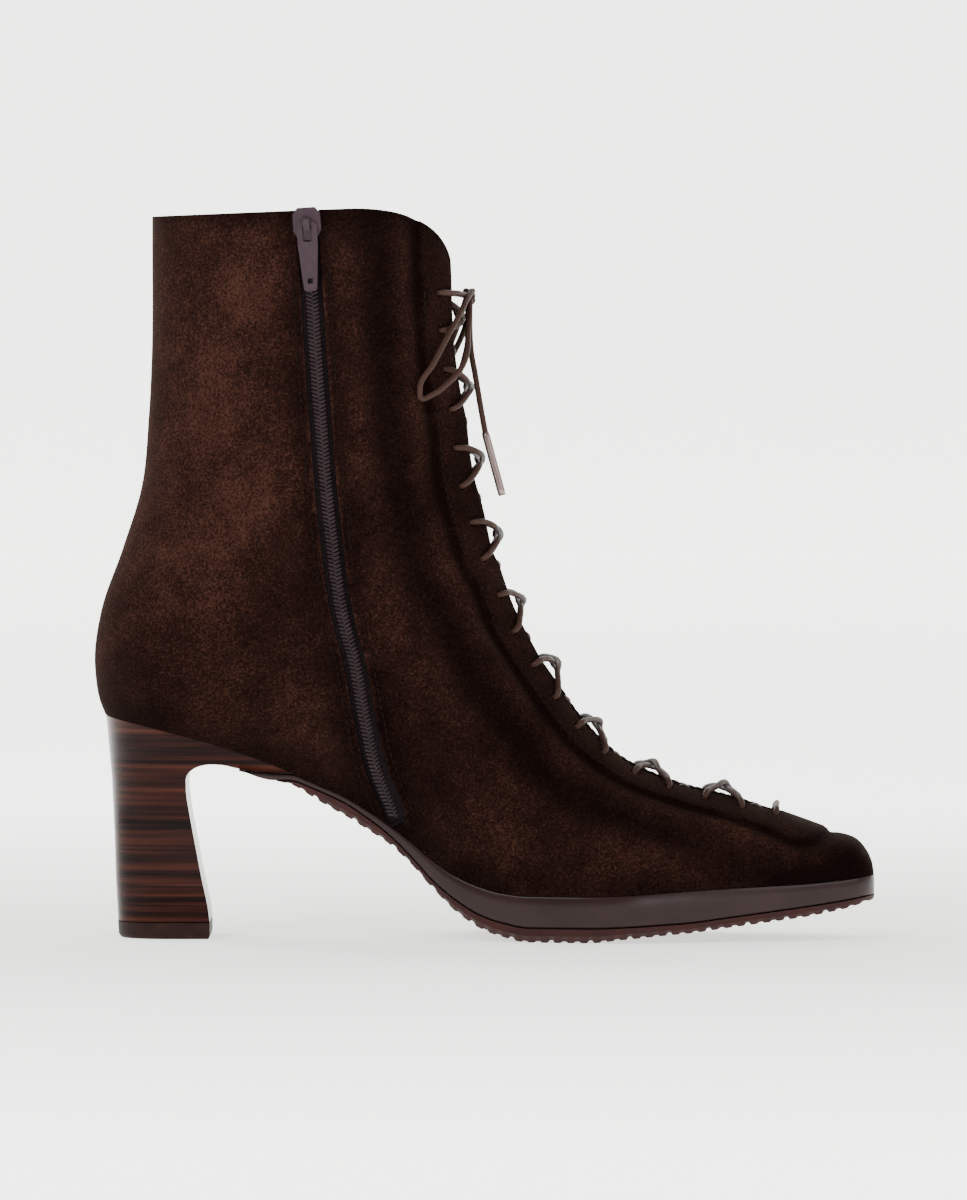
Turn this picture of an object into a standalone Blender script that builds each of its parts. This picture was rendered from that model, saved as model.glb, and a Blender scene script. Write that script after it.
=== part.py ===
"""Lace-up ankle boot for the left foot: suede upper on a last, platform, outsole and block heel.

Metres, +Z up, +X towards the toe, +Y towards the lateral side. The model is laid out from the back of
the heel (x = 0) on the floor (z = 0), and an empty moves it so that its origin is below its middle.
"""

import math

import bmesh
import bpy
import numpy as np
from mathutils import Matrix, Vector
from mathutils.bvhtree import BVHTree

# Driving sizes of the last and the boot, in metres
BOOT_LENGTH = 0.250
BALL_WIDTH = 0.0886
SHAFT_WIDTH = 0.067
HEEL_HEIGHT = 0.0726
SHAFT_HEIGHT = 0.1613
TOE_SPRING = 0.0059
PLATFORM_THICKNESS = 0.0106
OUTSOLE_THICKNESS = 0.0048

# Roundings of the last
TOE_CORNER = 0.0075
TOE_EDGE = 0.0070
SEAT_SETBACK = 0.0037
SEAT_ROUND = 0.027

# The upper's wall and its openings
WALL = 0.0022
GAP = 0.0003
SOLE_GAP = 0.0006
STAY_STEP = 0.0006
STAY_STEP_RUN = 0.0009
STAY_WIDTH = 0.0150
STAY_BEYOND_THROAT = 0.014
THROAT_FROM_TOE = 0.0290
THROAT_TOE_WIDTH = 0.0170
THROAT_TOP_WIDTH = 0.0280
THROAT_CROWN = 0.0016
WING_DROP = 0.0220
WING_SHARE = 0.31
COLLAR_BACK_DROP = 0.0030

# Lacing
LACE = 0.0019
HOLE = 0.0030
HOLE_SETBACK = 0.0073
HOLE_PAIRS = 19
TOP_HOLE_DROP = 0.0276
BOTTOM_HOLE_RISE = 0.0030
CROSSING_SPREAD = 0.0007
OUTER_CROSSING_RISE = 0.0012

# Tongue and insole
TONGUE = 0.0018
TONGUE_UNDERLAP = 0.0130
TONGUE_ABOVE_HOLES = 0.0160
INSOLE = 0.0022
INSOLE_INSET = 0.0030

# Heel and lift
LIFT = 0.0052
LIP_THICKNESS = 0.0057
HEEL_TOP_HALF = 0.0272

# Zip
ZIP_SLOT = 0.0072
ZIP_TAPE = 0.0011
COIL_WIDTH = 0.0036
COIL = 0.0009
SLIDER = (0.0088, 0.0105, 0.0016)
ARCH_WIDTH = 0.0020
ARCH_WALL = 0.0009
PULL_LENGTH = 0.0220
PULL_WIDTHS = (0.0064, 0.0042)
PULL = 0.0010
PULL_BAR = 0.0011

# Derived sizes
BALL_STACK = PLATFORM_THICKNESS + OUTSOLE_THICKNESS
HEEL_RISE = HEEL_HEIGHT - BALL_STACK
BOOT_HEIGHT = HEEL_HEIGHT + SHAFT_HEIGHT
UPPER_HEIGHT = BOOT_HEIGHT - BALL_STACK
HALF_BALL = BALL_WIDTH / 2
HALF_SHAFT = SHAFT_WIDTH / 2
MEDIAL, LATERAL = -1, 1

# The feather line and the layers under it. along is a share of BOOT_LENGTH; heel and toe lift the line
# by shares of HEEL_RISE and TOE_SPRING; lip, platform and outsole are shares of those thicknesses.
SOLE_COLUMNS = ("along", "heel", "toe", "lip", "platform", "outsole")
SOLE_PROFILE = (
    (0.000, 1.000, 0.000, 1.00, 0.03, 0.00),
    (0.078, 0.923, 0.000, 1.00, 0.03, 0.00),
    (0.153, 0.837, 0.000, 1.00, 0.03, 0.00),
    (0.188, 0.788, 0.000, 1.00, 0.03, 0.00),
    (0.228, 0.724, 0.000, 0.58, 0.22, 0.02),
    (0.266, 0.650, 0.000, 0.00, 0.22, 0.42),
    (0.292, 0.601, 0.000, 0.00, 0.22, 0.70),
    (0.323, 0.540, 0.000, 0.00, 0.235, 0.86),
    (0.352, 0.465, 0.000, 0.00, 0.285, 0.79),
    (0.379, 0.390, 0.000, 0.00, 0.37, 0.62),
    (0.408, 0.288, 0.000, 0.00, 0.48, 0.52),
    (0.435, 0.189, 0.000, 0.00, 0.65, 0.54),
    (0.465, 0.101, 0.000, 0.00, 0.76, 0.78),
    (0.496, 0.044, 0.000, 0.00, 0.89, 0.90),
    (0.522, 0.014, 0.000, 0.00, 0.93, 0.96),
    (0.556, 0.000, 0.000, 0.00, 1.00, 1.00),
    (0.632, 0.000, 0.000, 0.00, 1.00, 1.00),
    (0.680, 0.000, 0.085, 0.00, 1.01, 0.84),
    (0.747, 0.000, 0.270, 0.00, 1.02, 0.72),
    (0.822, 0.000, 0.440, 0.00, 0.91, 0.70),
    (0.898, 0.000, 0.560, 0.00, 0.76, 0.70),
    (0.954, 0.000, 0.745, 0.00, 0.68, 0.60),
    (1.000, 0.000, 1.000, 0.00, 0.63, 0.34),
)

# The feather line in plan: how far it lies from the middle line, in shares of HALF_BALL
PLAN_COLUMNS = ("along", "medial", "lateral")
SOLE_PLAN = (
    (0.000, 0.600, 0.610),
    (0.100, 0.605, 0.635),
    (0.180, 0.565, 0.643),
    (0.260, 0.520, 0.655),
    (0.340, 0.520, 0.711),
    (0.420, 0.595, 0.813),
    (0.500, 0.763, 0.925),
    (0.552, 0.876, 0.984),
    (0.600, 0.955, 1.000),
    (0.640, 0.993, 0.977),
    (0.688, 1.000, 0.921),
    (0.748, 0.944, 0.817),
    (0.820, 0.846, 0.677),
    (0.900, 0.700, 0.508),
    (0.972, 0.553, 0.339),
    (1.000, 0.497, 0.271),
)

# Sections of the upper from the toe to the heel seat. Each runs in a plane from the ridge of the instep
# (top) down to the feather line (sole). top_x and sole_x are shares of BOOT_LENGTH, top_rise of
# UPPER_HEIGHT; medial, lateral and ridge are shares of HALF_BALL; wide_m and wide_l say how far up each
# side is widest; crown is the exponent of the arch above that, and flare that of the flank below it.
SECTION_COLUMNS = (
    "top_x", "top_rise", "foot_x", "foot_rise", "medial", "lateral",
    "wide_m", "wide_l", "crown", "flare", "ridge", "seam",
)
FOOT_SECTIONS = (
    (1.0000, 0.0426, 1.0000, 0.0, 0.497, 0.271, 0.03, 0.03, 2.70, 1.0, -0.113, 0.0),
    (0.9720, 0.0546, 0.9720, 0.0, 0.553, 0.339, 0.05, 0.05, 2.50, 1.0, -0.108, 0.0),
    (0.8960, 0.0920, 0.9020, 0.0, 0.700, 0.508, 0.05, 0.05, 2.20, 1.0, -0.095, 0.0),
    (0.8220, 0.1240, 0.8300, 0.0, 0.840, 0.671, 0.05, 0.05, 2.00, 1.0, -0.068, 0.0),
    (0.7480, 0.1501, 0.7590, 0.0, 0.938, 0.805, 0.05, 0.05, 1.80, 1.0, -0.052, 0.0),
    (0.6810, 0.1890, 0.6790, 0.0, 1.000, 0.925, 0.05, 0.05, 1.70, 1.0, -0.043, 0.0),
    (0.6300, 0.2490, 0.5900, 0.0, 0.945, 1.000, 0.10, 0.04, 1.60, 1.0, -0.036, 0.0),
    (0.5960, 0.3094, 0.5010, 0.0, 0.869, 0.935, 0.25, 0.10, 1.60, 1.0, -0.032, 0.0),
    (0.5644, 0.3698, 0.4210, 0.0, 0.858, 0.850, 0.32, 0.22, 1.70, 1.0, -0.027, 0.0),
    (0.5420, 0.4206, 0.3400, 0.0, 0.850, 0.795, 0.38, 0.34, 1.80, 1.0, -0.018, 0.0),
    (0.5276, 0.4783, 0.2340, 0.0, 0.835, 0.765, 0.42, 0.40, 1.90, 0.9, -0.007, 0.0),
    (0.5192, 0.5085, 0.1180, 0.0, 0.820, 0.752, 0.44, 0.43, 1.95, 0.7, 0.000, 0.0),
    (0.5100, 0.5739, 0.0148, 0.0, 0.790, 0.729, 0.45, 0.45, 2.00, 0.5, 0.011, 0.0),
)

# Sections from above the heel seat to the collar. Each runs from the front ridge to the back seam, whose
# place is foot_x and foot_rise; medial, lateral, ridge and seam are shares of HALF_SHAFT.
SHAFT_SECTIONS = (
    (0.5016, 0.6096, 0.0008, 0.3291, 1.021, 0.955, 0.46, 0.46, 2.0, 0.5, 0.027, 0.000),
    (0.4952, 0.6481, 0.0088, 0.4069, 1.015, 0.967, 0.47, 0.47, 2.0, 0.5, 0.039, 0.000),
    (0.4900, 0.6943, 0.0376, 0.5025, 1.012, 0.985, 0.48, 0.48, 2.0, 0.5, 0.054, 0.003),
    (0.4840, 0.7213, 0.0608, 0.5881, 1.009, 0.994, 0.49, 0.49, 2.0, 0.5, 0.066, 0.009),
    (0.4784, 0.7556, 0.0704, 0.6961, 1.000, 1.003, 0.50, 0.50, 2.0, 0.5, 0.078, 0.018),
    (0.4732, 0.8146, 0.0748, 0.8247, 0.973, 1.027, 0.50, 0.50, 2.0, 0.5, 0.093, 0.036),
    (0.4724, 0.9085, 0.0748, 0.9368, 0.937, 1.080, 0.50, 0.50, 2.0, 0.5, 0.107, 0.078),
    (0.4728, 1.0150, 0.0748, 1.0150, 0.916, 1.107, 0.50, 0.50, 2.0, 0.5, 0.116, 0.090),
)

# The heel's outline from the side: its back edge and its breast, in shares of BOOT_LENGTH and HEEL_HEIGHT
HEEL_BACK = ((0.0310, 0.000), (0.0310, 0.092), (0.0280, 0.270), (0.0264, 0.467), (0.0224, 0.725))
HEEL_BREAST = (
    (0.1500, 0.072), (0.1480, 0.129), (0.1388, 0.282), (0.1312, 0.423), (0.1236, 0.567),
    (0.1200, 0.670), (0.1216, 0.725), (0.1312, 0.755), (0.1460, 0.771), (0.1680, 0.770),
)
# Half widths of the heel, in shares of HEEL_TOP_HALF, at shares of HEEL_HEIGHT
HEEL_WIDTHS = ((0.00, 0.700), (0.25, 0.680), (0.50, 0.700), (0.68, 0.800), (0.80, 0.950), (0.92, 1.0))

# The zip's middle line on the medial side: shares of BOOT_LENGTH along and, up, of the way from the
# feather line to the collar
ZIP_LINE = (
    (0.3880, 0.019), (0.3672, 0.067), (0.3492, 0.151), (0.3352, 0.240), (0.3228, 0.294),
    (0.3056, 0.439), (0.2924, 0.639), (0.2752, 0.987),
)

# Routes of the bow, in metres from the back of the heel, the middle line and the floor
KNOT = (0.1204, 0.0030, 0.2056)
KNOT_SIZE = (0.0042, 0.0064, 0.0060)
MEDIAL_LOOP = (
    (0.1207, -0.0016, 0.2042), (0.1205, -0.0058, 0.1990), (0.1200, -0.0096, 0.1927),
    (0.1199, -0.0130, 0.1885), (0.1185, -0.0172, 0.1835), (0.1145, -0.0212, 0.1785),
    (0.1090, -0.0242, 0.1742), (0.1052, -0.0256, 0.1728), (0.1048, -0.0266, 0.1766),
    (0.1090, -0.0245, 0.1838), (0.1130, -0.0205, 0.1915), (0.1174, -0.0132, 0.1996),
    (0.1199, -0.0066, 0.2048), (0.1212, -0.0021, 0.2069),
)
LATERAL_LOOP = (
    (0.1200, 0.0077, 0.2069), (0.1186, 0.0150, 0.2022), (0.1160, 0.0225, 0.1941),
    (0.1118, 0.0300, 0.1848), (0.1082, 0.0345, 0.1778), (0.1062, 0.0354, 0.1738),
    (0.1066, 0.0328, 0.1738), (0.1110, 0.0270, 0.1800), (0.1158, 0.0205, 0.1880),
    (0.1192, 0.0140, 0.1960), (0.1205, 0.0080, 0.2040),
)
MEDIAL_END = (
    (0.1206, 0.0017, 0.2024), (0.1206, -0.0004, 0.1950), (0.1210, -0.0030, 0.1880),
    (0.1224, -0.0054, 0.1800), (0.1240, -0.0076, 0.1705), (0.1256, -0.0092, 0.1616),
)
MEDIAL_AGLET = ((0.12572, -0.00932, 0.16118), (0.1310, -0.0116, 0.1418))
LATERAL_END = (
    (0.1206, 0.0043, 0.2024), (0.1204, 0.0090, 0.1958), (0.1196, 0.0150, 0.1888),
    (0.1174, 0.0212, 0.1812), (0.1142, 0.0262, 0.1750),
)
LATERAL_AGLET = ((0.11398, 0.02648, 0.17462), (0.1060, 0.0348, 0.1580))
AGLET = 0.0025

LAST_NAME = "lace_up_ankle_boot"


def clear_scene():
    for obj in list(bpy.data.objects):
        bpy.data.objects.remove(obj, do_unlink=True)


def new_collection(name):
    found = bpy.data.collections.new(name)
    bpy.context.scene.collection.children.link(found)
    return found


def material(name, colour, roughness, metallic=0.0):
    made = bpy.data.materials.new(name)
    made.use_nodes = True
    shader = made.node_tree.nodes["Principled BSDF"]
    shader.inputs["Base Color"].default_value = (*colour, 1.0)
    shader.inputs["Roughness"].default_value = roughness
    shader.inputs["Metallic"].default_value = metallic
    return made


def curve_through(knots, values, at, flat=False):
    """Cubic through a table's rows. With flat, it keeps level between equal rows and never overshoots."""
    knots, values, at = (np.asarray(item, float) for item in (knots, values, at))
    spans = np.diff(knots)
    rises = np.diff(values) / spans
    slopes = np.empty_like(values)
    weighted = (spans[1:] * rises[:-1] + spans[:-1] * rises[1:]) / (spans[1:] + spans[:-1])
    if flat:
        same_way = rises[:-1] * rises[1:] > 0
        safe = np.where(same_way, rises[:-1] + rises[1:], 1.0)
        weighted = np.where(same_way, 2 * rises[:-1] * rises[1:] / safe, 0.0)
    slopes[1:-1] = weighted
    slopes[0], slopes[-1] = rises[0], rises[-1]
    row = np.clip(np.searchsorted(knots, at, side="right") - 1, 0, len(spans) - 1)
    share = np.clip((at - knots[row]) / spans[row], 0.0, 1.0)
    rest = 1 - share
    return (
        values[row] * (1 + 2 * share) * rest**2
        + slopes[row] * spans[row] * share * rest**2
        + values[row + 1] * (3 - 2 * share) * share**2
        - slopes[row + 1] * spans[row] * rest * share**2
    )


def column(table, names, name):
    return np.array([row[names.index(name)] for row in table])


def rounding(depth, radius):
    """How far a round corner of this radius falls back, at a depth from its front."""
    inside = np.clip(radius - np.asarray(depth, float), 0.0, radius)
    return radius - np.sqrt(radius**2 - inside**2)


def sole_value(name, x):
    knots = column(SOLE_PROFILE, SOLE_COLUMNS, "along")
    values = column(SOLE_PROFILE, SOLE_COLUMNS, name)
    return curve_through(knots, values, np.asarray(x, float) / BOOT_LENGTH, flat=True)


def feather_height(x):
    return BALL_STACK + HEEL_RISE * sole_value("heel", x) + TOE_SPRING * sole_value("toe", x)


def platform_thickness(x):
    return PLATFORM_THICKNESS * sole_value("platform", x)


def platform_top(x):
    return feather_height(x) - LIP_THICKNESS * sole_value("lip", x) - SOLE_GAP


def platform_bottom(x):
    return feather_height(x) - LIP_THICKNESS * sole_value("lip", x) - platform_thickness(x)


def outsole_bottom(x):
    return platform_bottom(x) - OUTSOLE_THICKNESS * sole_value("outsole", x)


def feather_side(x, side):
    """Distance of the feather line from the middle line, with the toe's corners and the round seat."""
    x = np.asarray(x, float)
    name = "medial" if side == MEDIAL else "lateral"
    knots = column(SOLE_PLAN, PLAN_COLUMNS, "along")
    wide = HALF_BALL * curve_through(knots, column(SOLE_PLAN, PLAN_COLUMNS, name), x / BOOT_LENGTH)
    wide = wide - rounding(BOOT_LENGTH - x, TOE_CORNER)
    return wide * round_back(x - SEAT_SETBACK)


def round_back(depth):
    """Share of the full width at a depth from the back of the heel, round in plan."""
    into = np.clip(depth / SEAT_ROUND, 0.0, 1.0)
    return np.sqrt(1 - (1 - into) ** 2)


def section_table():
    """The section rows in metres, with their distance along the boot as the last column."""
    rows = []
    for row in FOOT_SECTIONS:
        values = dict(zip(SECTION_COLUMNS, row))
        foot_x = values["foot_x"] * BOOT_LENGTH
        top_x = values["top_x"] * BOOT_LENGTH
        lift = BALL_STACK + TOE_SPRING * float(sole_value("toe", top_x))
        rows.append([
            top_x, lift + values["top_rise"] * UPPER_HEIGHT, foot_x, float(feather_height(foot_x)),
            values["medial"] * HALF_BALL, values["lateral"] * HALF_BALL, values["wide_m"],
            values["wide_l"], values["crown"], values["flare"], values["ridge"] * HALF_BALL, 0.0,
        ])
    for row in SHAFT_SECTIONS:
        values = dict(zip(SECTION_COLUMNS, row))
        rows.append([
            values["top_x"] * BOOT_LENGTH, BALL_STACK + values["top_rise"] * UPPER_HEIGHT,
            values["foot_x"] * BOOT_LENGTH, BALL_STACK + values["foot_rise"] * UPPER_HEIGHT,
            values["medial"] * HALF_SHAFT, values["lateral"] * HALF_SHAFT, values["wide_m"],
            values["wide_l"], values["crown"], values["flare"], values["ridge"] * HALF_SHAFT,
            values["seam"] * HALF_SHAFT,
        ])
    rows = np.array(rows)
    steps = np.hypot(*np.diff(rows[:, 0:2], axis=0).T) + np.hypot(*np.diff(rows[:, 2:4], axis=0).T)
    return rows, np.concatenate([[0.0], np.cumsum(steps / 2)])


SECTIONS, STATIONS = section_table()
SEAT_STATION = STATIONS[len(FOOT_SECTIONS) - 1]
SAMPLES = 72
HEEL_FLARE = 0.8
ARCH_POWER = 2.1
HEEL_COUNTER_LENGTH = 0.024


def section_values(station):
    values = [curve_through(STATIONS, SECTIONS[:, i], station) for i in range(SECTIONS.shape[1])]
    return dict(zip(SECTION_COLUMNS, (float(value) for value in values)))


def back_x(z):
    """Where the back seam lies at a height."""
    rows = SECTIONS[len(FOOT_SECTIONS) - 1 :]
    return curve_through(rows[:, 3], rows[:, 2], z)


def heel_counter(xz, foot, wide, reach, lower):
    """Distances of a flank from the middle line around the heel, as if each level were round in plan."""
    level = wide + (reach - wide) * (1 - lower**2) ** HEEL_FLARE
    depth = xz[:, 0] - back_x(np.maximum(xz[:, 1], SECTIONS[len(FOOT_SECTIONS) - 1, 3]))
    if foot is not None:
        depth = depth - foot[0] + back_x(foot[1])
    return level * round_back(depth)


def section_line(station, side):
    """The outer line of one section, from the ridge down to the feather line or the back seam."""
    row = section_values(station)
    from_toe = BOOT_LENGTH - row["top_x"]
    top = np.array([row["top_x"], row["top_rise"] - rounding(from_toe, TOE_EDGE)])
    foot = np.array([row["foot_x"], row["foot_rise"]])
    widest = row["wide_m"] if side == MEDIAL else row["wide_l"]
    reach = row["medial"] if side == MEDIAL else row["lateral"]
    reach -= rounding(BOOT_LENGTH - row["foot_x"], TOE_CORNER)
    start = side * row["seam"]
    if station <= SEAT_STATION:
        foot[1] = feather_height(foot[0])
        start = float(feather_side(foot[0], side))
        reach = max(reach, start)
    seat = max(foot[0], SEAT_SETBACK + SEAT_ROUND) if station <= SEAT_STATION else SEAT_SETBACK + SEAT_ROUND
    full = max(start, float(feather_side(seat, side)))
    above = np.clip((station - SEAT_STATION) / (STATIONS[len(FOOT_SECTIONS) + 2] - SEAT_STATION), 0.0, 1.0)
    near_heel = 1.0 - above * above * (3 - 2 * above)
    if foot[0] > SEAT_SETBACK + HEEL_COUNTER_LENGTH:
        near_heel = 0.0
    turn = np.linspace(0, math.pi / 2, SAMPLES)
    upper, lower = np.sin(turn)[::-1], np.sin(turn)
    ridge = side * row["ridge"]
    arch = ridge + (reach - ridge) * (1 - upper ** row["crown"]) ** (1 / ARCH_POWER)
    flank = start + (reach - start) * (1 - lower**2) ** row["flare"]
    share = np.concatenate([widest + (1 - widest) * upper, widest * (1 - lower[1:])])
    xz = foot + share[:, None] * (top - foot)
    if near_heel > 0.0:
        own = None if station <= SEAT_STATION else foot
        counter = heel_counter(xz[SAMPLES - 1 :], own, full, reach, lower)
        flank = near_heel * counter + (1 - near_heel) * flank
        flank[0] = reach
    y = side * np.concatenate([arch, flank[1:]])
    return np.column_stack([xz[:, 0], y, xz[:, 1]])


def throat_station():
    ridge = SECTIONS[: len(FOOT_SECTIONS), 0]
    return float(np.interp(THROAT_FROM_TOE - BOOT_LENGTH, -ridge, STATIONS[: len(FOOT_SECTIONS)]))


THROAT_STATION = throat_station()
THROAT_ROUND = THROAT_TOE_WIDTH / 2


def throat_half(station):
    """Half of the gap between the facings, round at its toe end."""
    into = station - THROAT_STATION
    if into <= 0:
        return 0.0
    share = into / (STATIONS[-1] - THROAT_STATION)
    half = (THROAT_TOE_WIDTH + (THROAT_TOP_WIDTH - THROAT_TOE_WIDTH) * share**1.3) / 2
    return half - rounding(into, THROAT_ROUND) * half / THROAT_ROUND


def measured_line(station, side):
    """The section's line with its length from the throat's edge, which is negative on the ridge side."""
    line = section_line(station, side)
    length = np.concatenate([[0.0], np.cumsum(np.linalg.norm(np.diff(line, axis=0), axis=1))])
    across = np.abs(line[:, 1] - line[0, 1])
    rising = np.maximum.accumulate(across[: SAMPLES])
    edge = np.interp(throat_half(station), rising, length[:SAMPLES])
    return line, length - edge


def stay_half_length(station):
    """Width of the eyestay from the throat's edge, or from the ridge beyond the throat's toe end."""
    before = THROAT_STATION - station
    if before <= 0:
        return STAY_WIDTH
    whole = STAY_WIDTH + THROAT_ROUND
    grown = min(before / STAY_BEYOND_THROAT, 1.0)
    return whole * math.sqrt(max(1 - grown**2, 0.0))


def on_upper(station, side, distance, lift=0.0):
    """A point of the upper's face, at a distance from the throat's edge, lifted along the normal."""
    def spot(at_station, at_distance):
        line, length = measured_line(at_station, side)
        return np.array([np.interp(at_distance, length, line[:, axis]) for axis in range(3)])

    point = spot(station, distance)
    if lift == 0.0:
        return point
    step = 0.0008
    along = spot(station + step, distance) - spot(station - step, distance)
    down = spot(station, distance + step) - spot(station, distance - step)
    normal = np.cross(down, along) * side
    return point + lift * normal / np.linalg.norm(normal)


def on_throat(station, share, lift=0.0):
    """A point between the throat's edges: share is 0 at the medial edge and 1 at the lateral one."""
    edges = [on_upper(station, side, 0.0) for side in (MEDIAL, LATERAL)]
    outer = [on_upper(station, side, 0.0, 1.0) - edge for side, edge in zip((MEDIAL, LATERAL), edges)]
    normal = (1 - share) * outer[0] + share * outer[1]
    normal /= np.linalg.norm(normal)
    rise = THROAT_CROWN * 4 * share * (1 - share)
    return (1 - share) * edges[0] + share * edges[1] + (rise + lift) * normal


def mesh_object(name, points, faces, collection, surface):
    data = bpy.data.meshes.new(name)
    data.from_pydata([tuple(float(c) for c in p) for p in points], [], faces)
    data.update()
    obj = bpy.data.objects.new(name, data)
    obj.data.materials.append(surface)
    collection.objects.link(obj)
    return obj


def face_outwards(obj):
    shape = bmesh.new()
    shape.from_mesh(obj.data)
    bmesh.ops.remove_doubles(shape, verts=shape.verts, dist=1e-6)
    bmesh.ops.recalc_face_normals(shape, faces=shape.faces)
    if shape.calc_volume(signed=True) < 0:
        bmesh.ops.reverse_faces(shape, faces=shape.faces)
    shape.to_mesh(obj.data)
    shape.free()


def smooth(obj, degrees=40.0):
    obj.data.shade_smooth()
    obj.data.set_sharp_from_angle(angle=math.radians(degrees))


def grid_faces(rows, columns, closed=False):
    """Quads of a grid whose points are stored row by row; closed joins each row's end to its start."""
    faces = []
    for i in range(rows - 1):
        for j in range(columns if closed else columns - 1):
            k = (j + 1) % columns
            faces.append((i * columns + j, (i + 1) * columns + j, (i + 1) * columns + k, i * columns + k))
    return faces


def loft(name, rings, collection, surface):
    """A closed solid through rings that have the same number of points, with a flat face at each end."""
    count = len(rings[0])
    faces = grid_faces(len(rings), count, closed=True)
    faces.append(tuple(range(count)))
    faces.append(tuple(range((len(rings) - 1) * count, len(rings) * count))[::-1])
    obj = mesh_object(name, [p for ring in rings for p in ring], faces, collection, surface)
    face_outwards(obj)
    return obj


def add_boolean(obj, cutter, operation="DIFFERENCE", solver="EXACT"):
    modifier = obj.modifiers.new(f"{operation.lower()}_{cutter.name}", "BOOLEAN")
    modifier.operation = operation
    modifier.object = cutter
    modifier.solver = solver


def hide_cutter(obj):
    obj.hide_render = True
    obj.display_type = "WIRE"


# Where the upper's grid has its lines: turns of the toe's rounding, then counts between named places
TOE_TURNS = (0, 30, 58, 80)
SEAT_TURNS = (64, 38)
FLANK_SHARES = (0.0, 0.15, 0.32, 0.49, 0.65, 0.80, 0.92, 1.0)


# How far the last whole row of the upper stays below the foot of the wings
WING_MARGIN = 0.0040


def wing_station():
    """Station of the upper's last whole row."""
    tries = np.linspace(STATIONS[-4], STATIONS[-1], 25)
    heights = [on_upper(t, MEDIAL, 0.0)[2] for t in tries]
    return float(np.interp(BOOT_HEIGHT - WING_DROP - WING_MARGIN, heights, tries))


def upper_stations():
    toe = [TOE_CORNER * (1 - math.cos(math.radians(turn))) for turn in TOE_TURNS]
    stay_toe = THROAT_STATION - STAY_BEYOND_THROAT
    cap = [stay_toe - GAP]
    stay = [stay_toe + STAY_BEYOND_THROAT * share for share in (0.04, 0.16, 0.36, 0.66, 1.0)]
    throat = [THROAT_STATION + THROAT_ROUND * (1 - math.cos(math.radians(turn))) for turn in (28, 55, 90)]
    tries = np.linspace(STATIONS[-len(SHAFT_SECTIONS) - 3], SEAT_STATION, 60)
    feet = np.array([-section_values(t)["foot_x"] for t in tries])
    seat = [SEAT_SETBACK + SEAT_ROUND * (1 - math.cos(math.radians(turn))) for turn in SEAT_TURNS]
    seat = [float(np.interp(-x, feet, tries)) for x in seat]
    instep = np.linspace(throat[-1], seat[0], 12)[1:-1]
    rows = list(STATIONS[len(FOOT_SECTIONS) - 1 : -2]) + [wing_station()]
    shaft = sorted(list(rows) + [(a + b) / 2 for a, b in zip(rows[:3], rows[1:4])])
    return toe + cap + stay + throat + list(instep) + seat + list(shaft)


def collar_height(share):
    """Height of the collar at a share of the way from the throat's edge to the back seam."""
    wing = WING_DROP * (1 - math.sqrt(1 - max(1 - share / WING_SHARE, 0.0) ** 2))
    return BOOT_HEIGHT - COLLAR_BACK_DROP * (1 - math.cos(math.pi * share)) / 2 - wing


def grid_distances(station, side):
    """Distances of the grid's columns from the throat's edge, and the step's height in each."""
    line, length = measured_line(station, side)
    stay = stay_half_length(station)
    stay = min(stay, 0.5 * length[-1])
    inner = [0.0, 0.5 * stay, max(stay - STAY_STEP_RUN, 0.6 * stay)]
    flank = [stay + share * (length[-1] - stay) for share in FLANK_SHARES]
    raised = STAY_STEP * min(stay / STAY_WIDTH, 1.0)
    heights = [raised] * len(inner) + [0.0] * len(flank)
    return inner + flank, heights


def upper_row(station, side):
    distances, heights = grid_distances(station, side)
    return [on_upper(station, side, d, h) for d, h in zip(distances, heights)]


def collar_stations(side):
    """For each column of the grid, the station at which it meets the collar."""
    tries = np.linspace(STATIONS[-4], STATIONS[-1], 25)
    rows = [[on_upper(t, side, d) for d in grid_distances(t, side)[0]] for t in tries]
    heights = np.array([[point[2] for point in row] for row in rows])
    distances = np.array(grid_distances(wing_station(), side)[0])
    shares = distances / distances[-1]
    return [float(np.interp(collar_height(share), heights[:, i], tries)) for i, share in enumerate(shares)]


COLLAR_ROWS = (0.45, 0.78, 1.0)


def upper_points():
    """Rows of points from the lateral feather line or back seam over the front to the medial one."""
    rows = []
    stations = upper_stations()
    for station in stations:
        medial, lateral = upper_row(station, MEDIAL), upper_row(station, LATERAL)
        if station <= THROAT_STATION:
            rows.append(medial[::-1] + lateral[1:])
        else:
            rows.append(medial[::-1] + lateral)
    start = stations[-1]
    ends = {side: collar_stations(side) for side in (MEDIAL, LATERAL)}
    for share in COLLAR_ROWS:
        halves = {}
        for side in (MEDIAL, LATERAL):
            halves[side] = []
            for i, end in enumerate(ends[side]):
                station = start + share * (end - start)
                distances, heights = grid_distances(station, side)
                halves[side].append(on_upper(station, side, distances[i], heights[i]))
        rows.append(halves[MEDIAL][::-1] + halves[LATERAL])
    return rows


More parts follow.
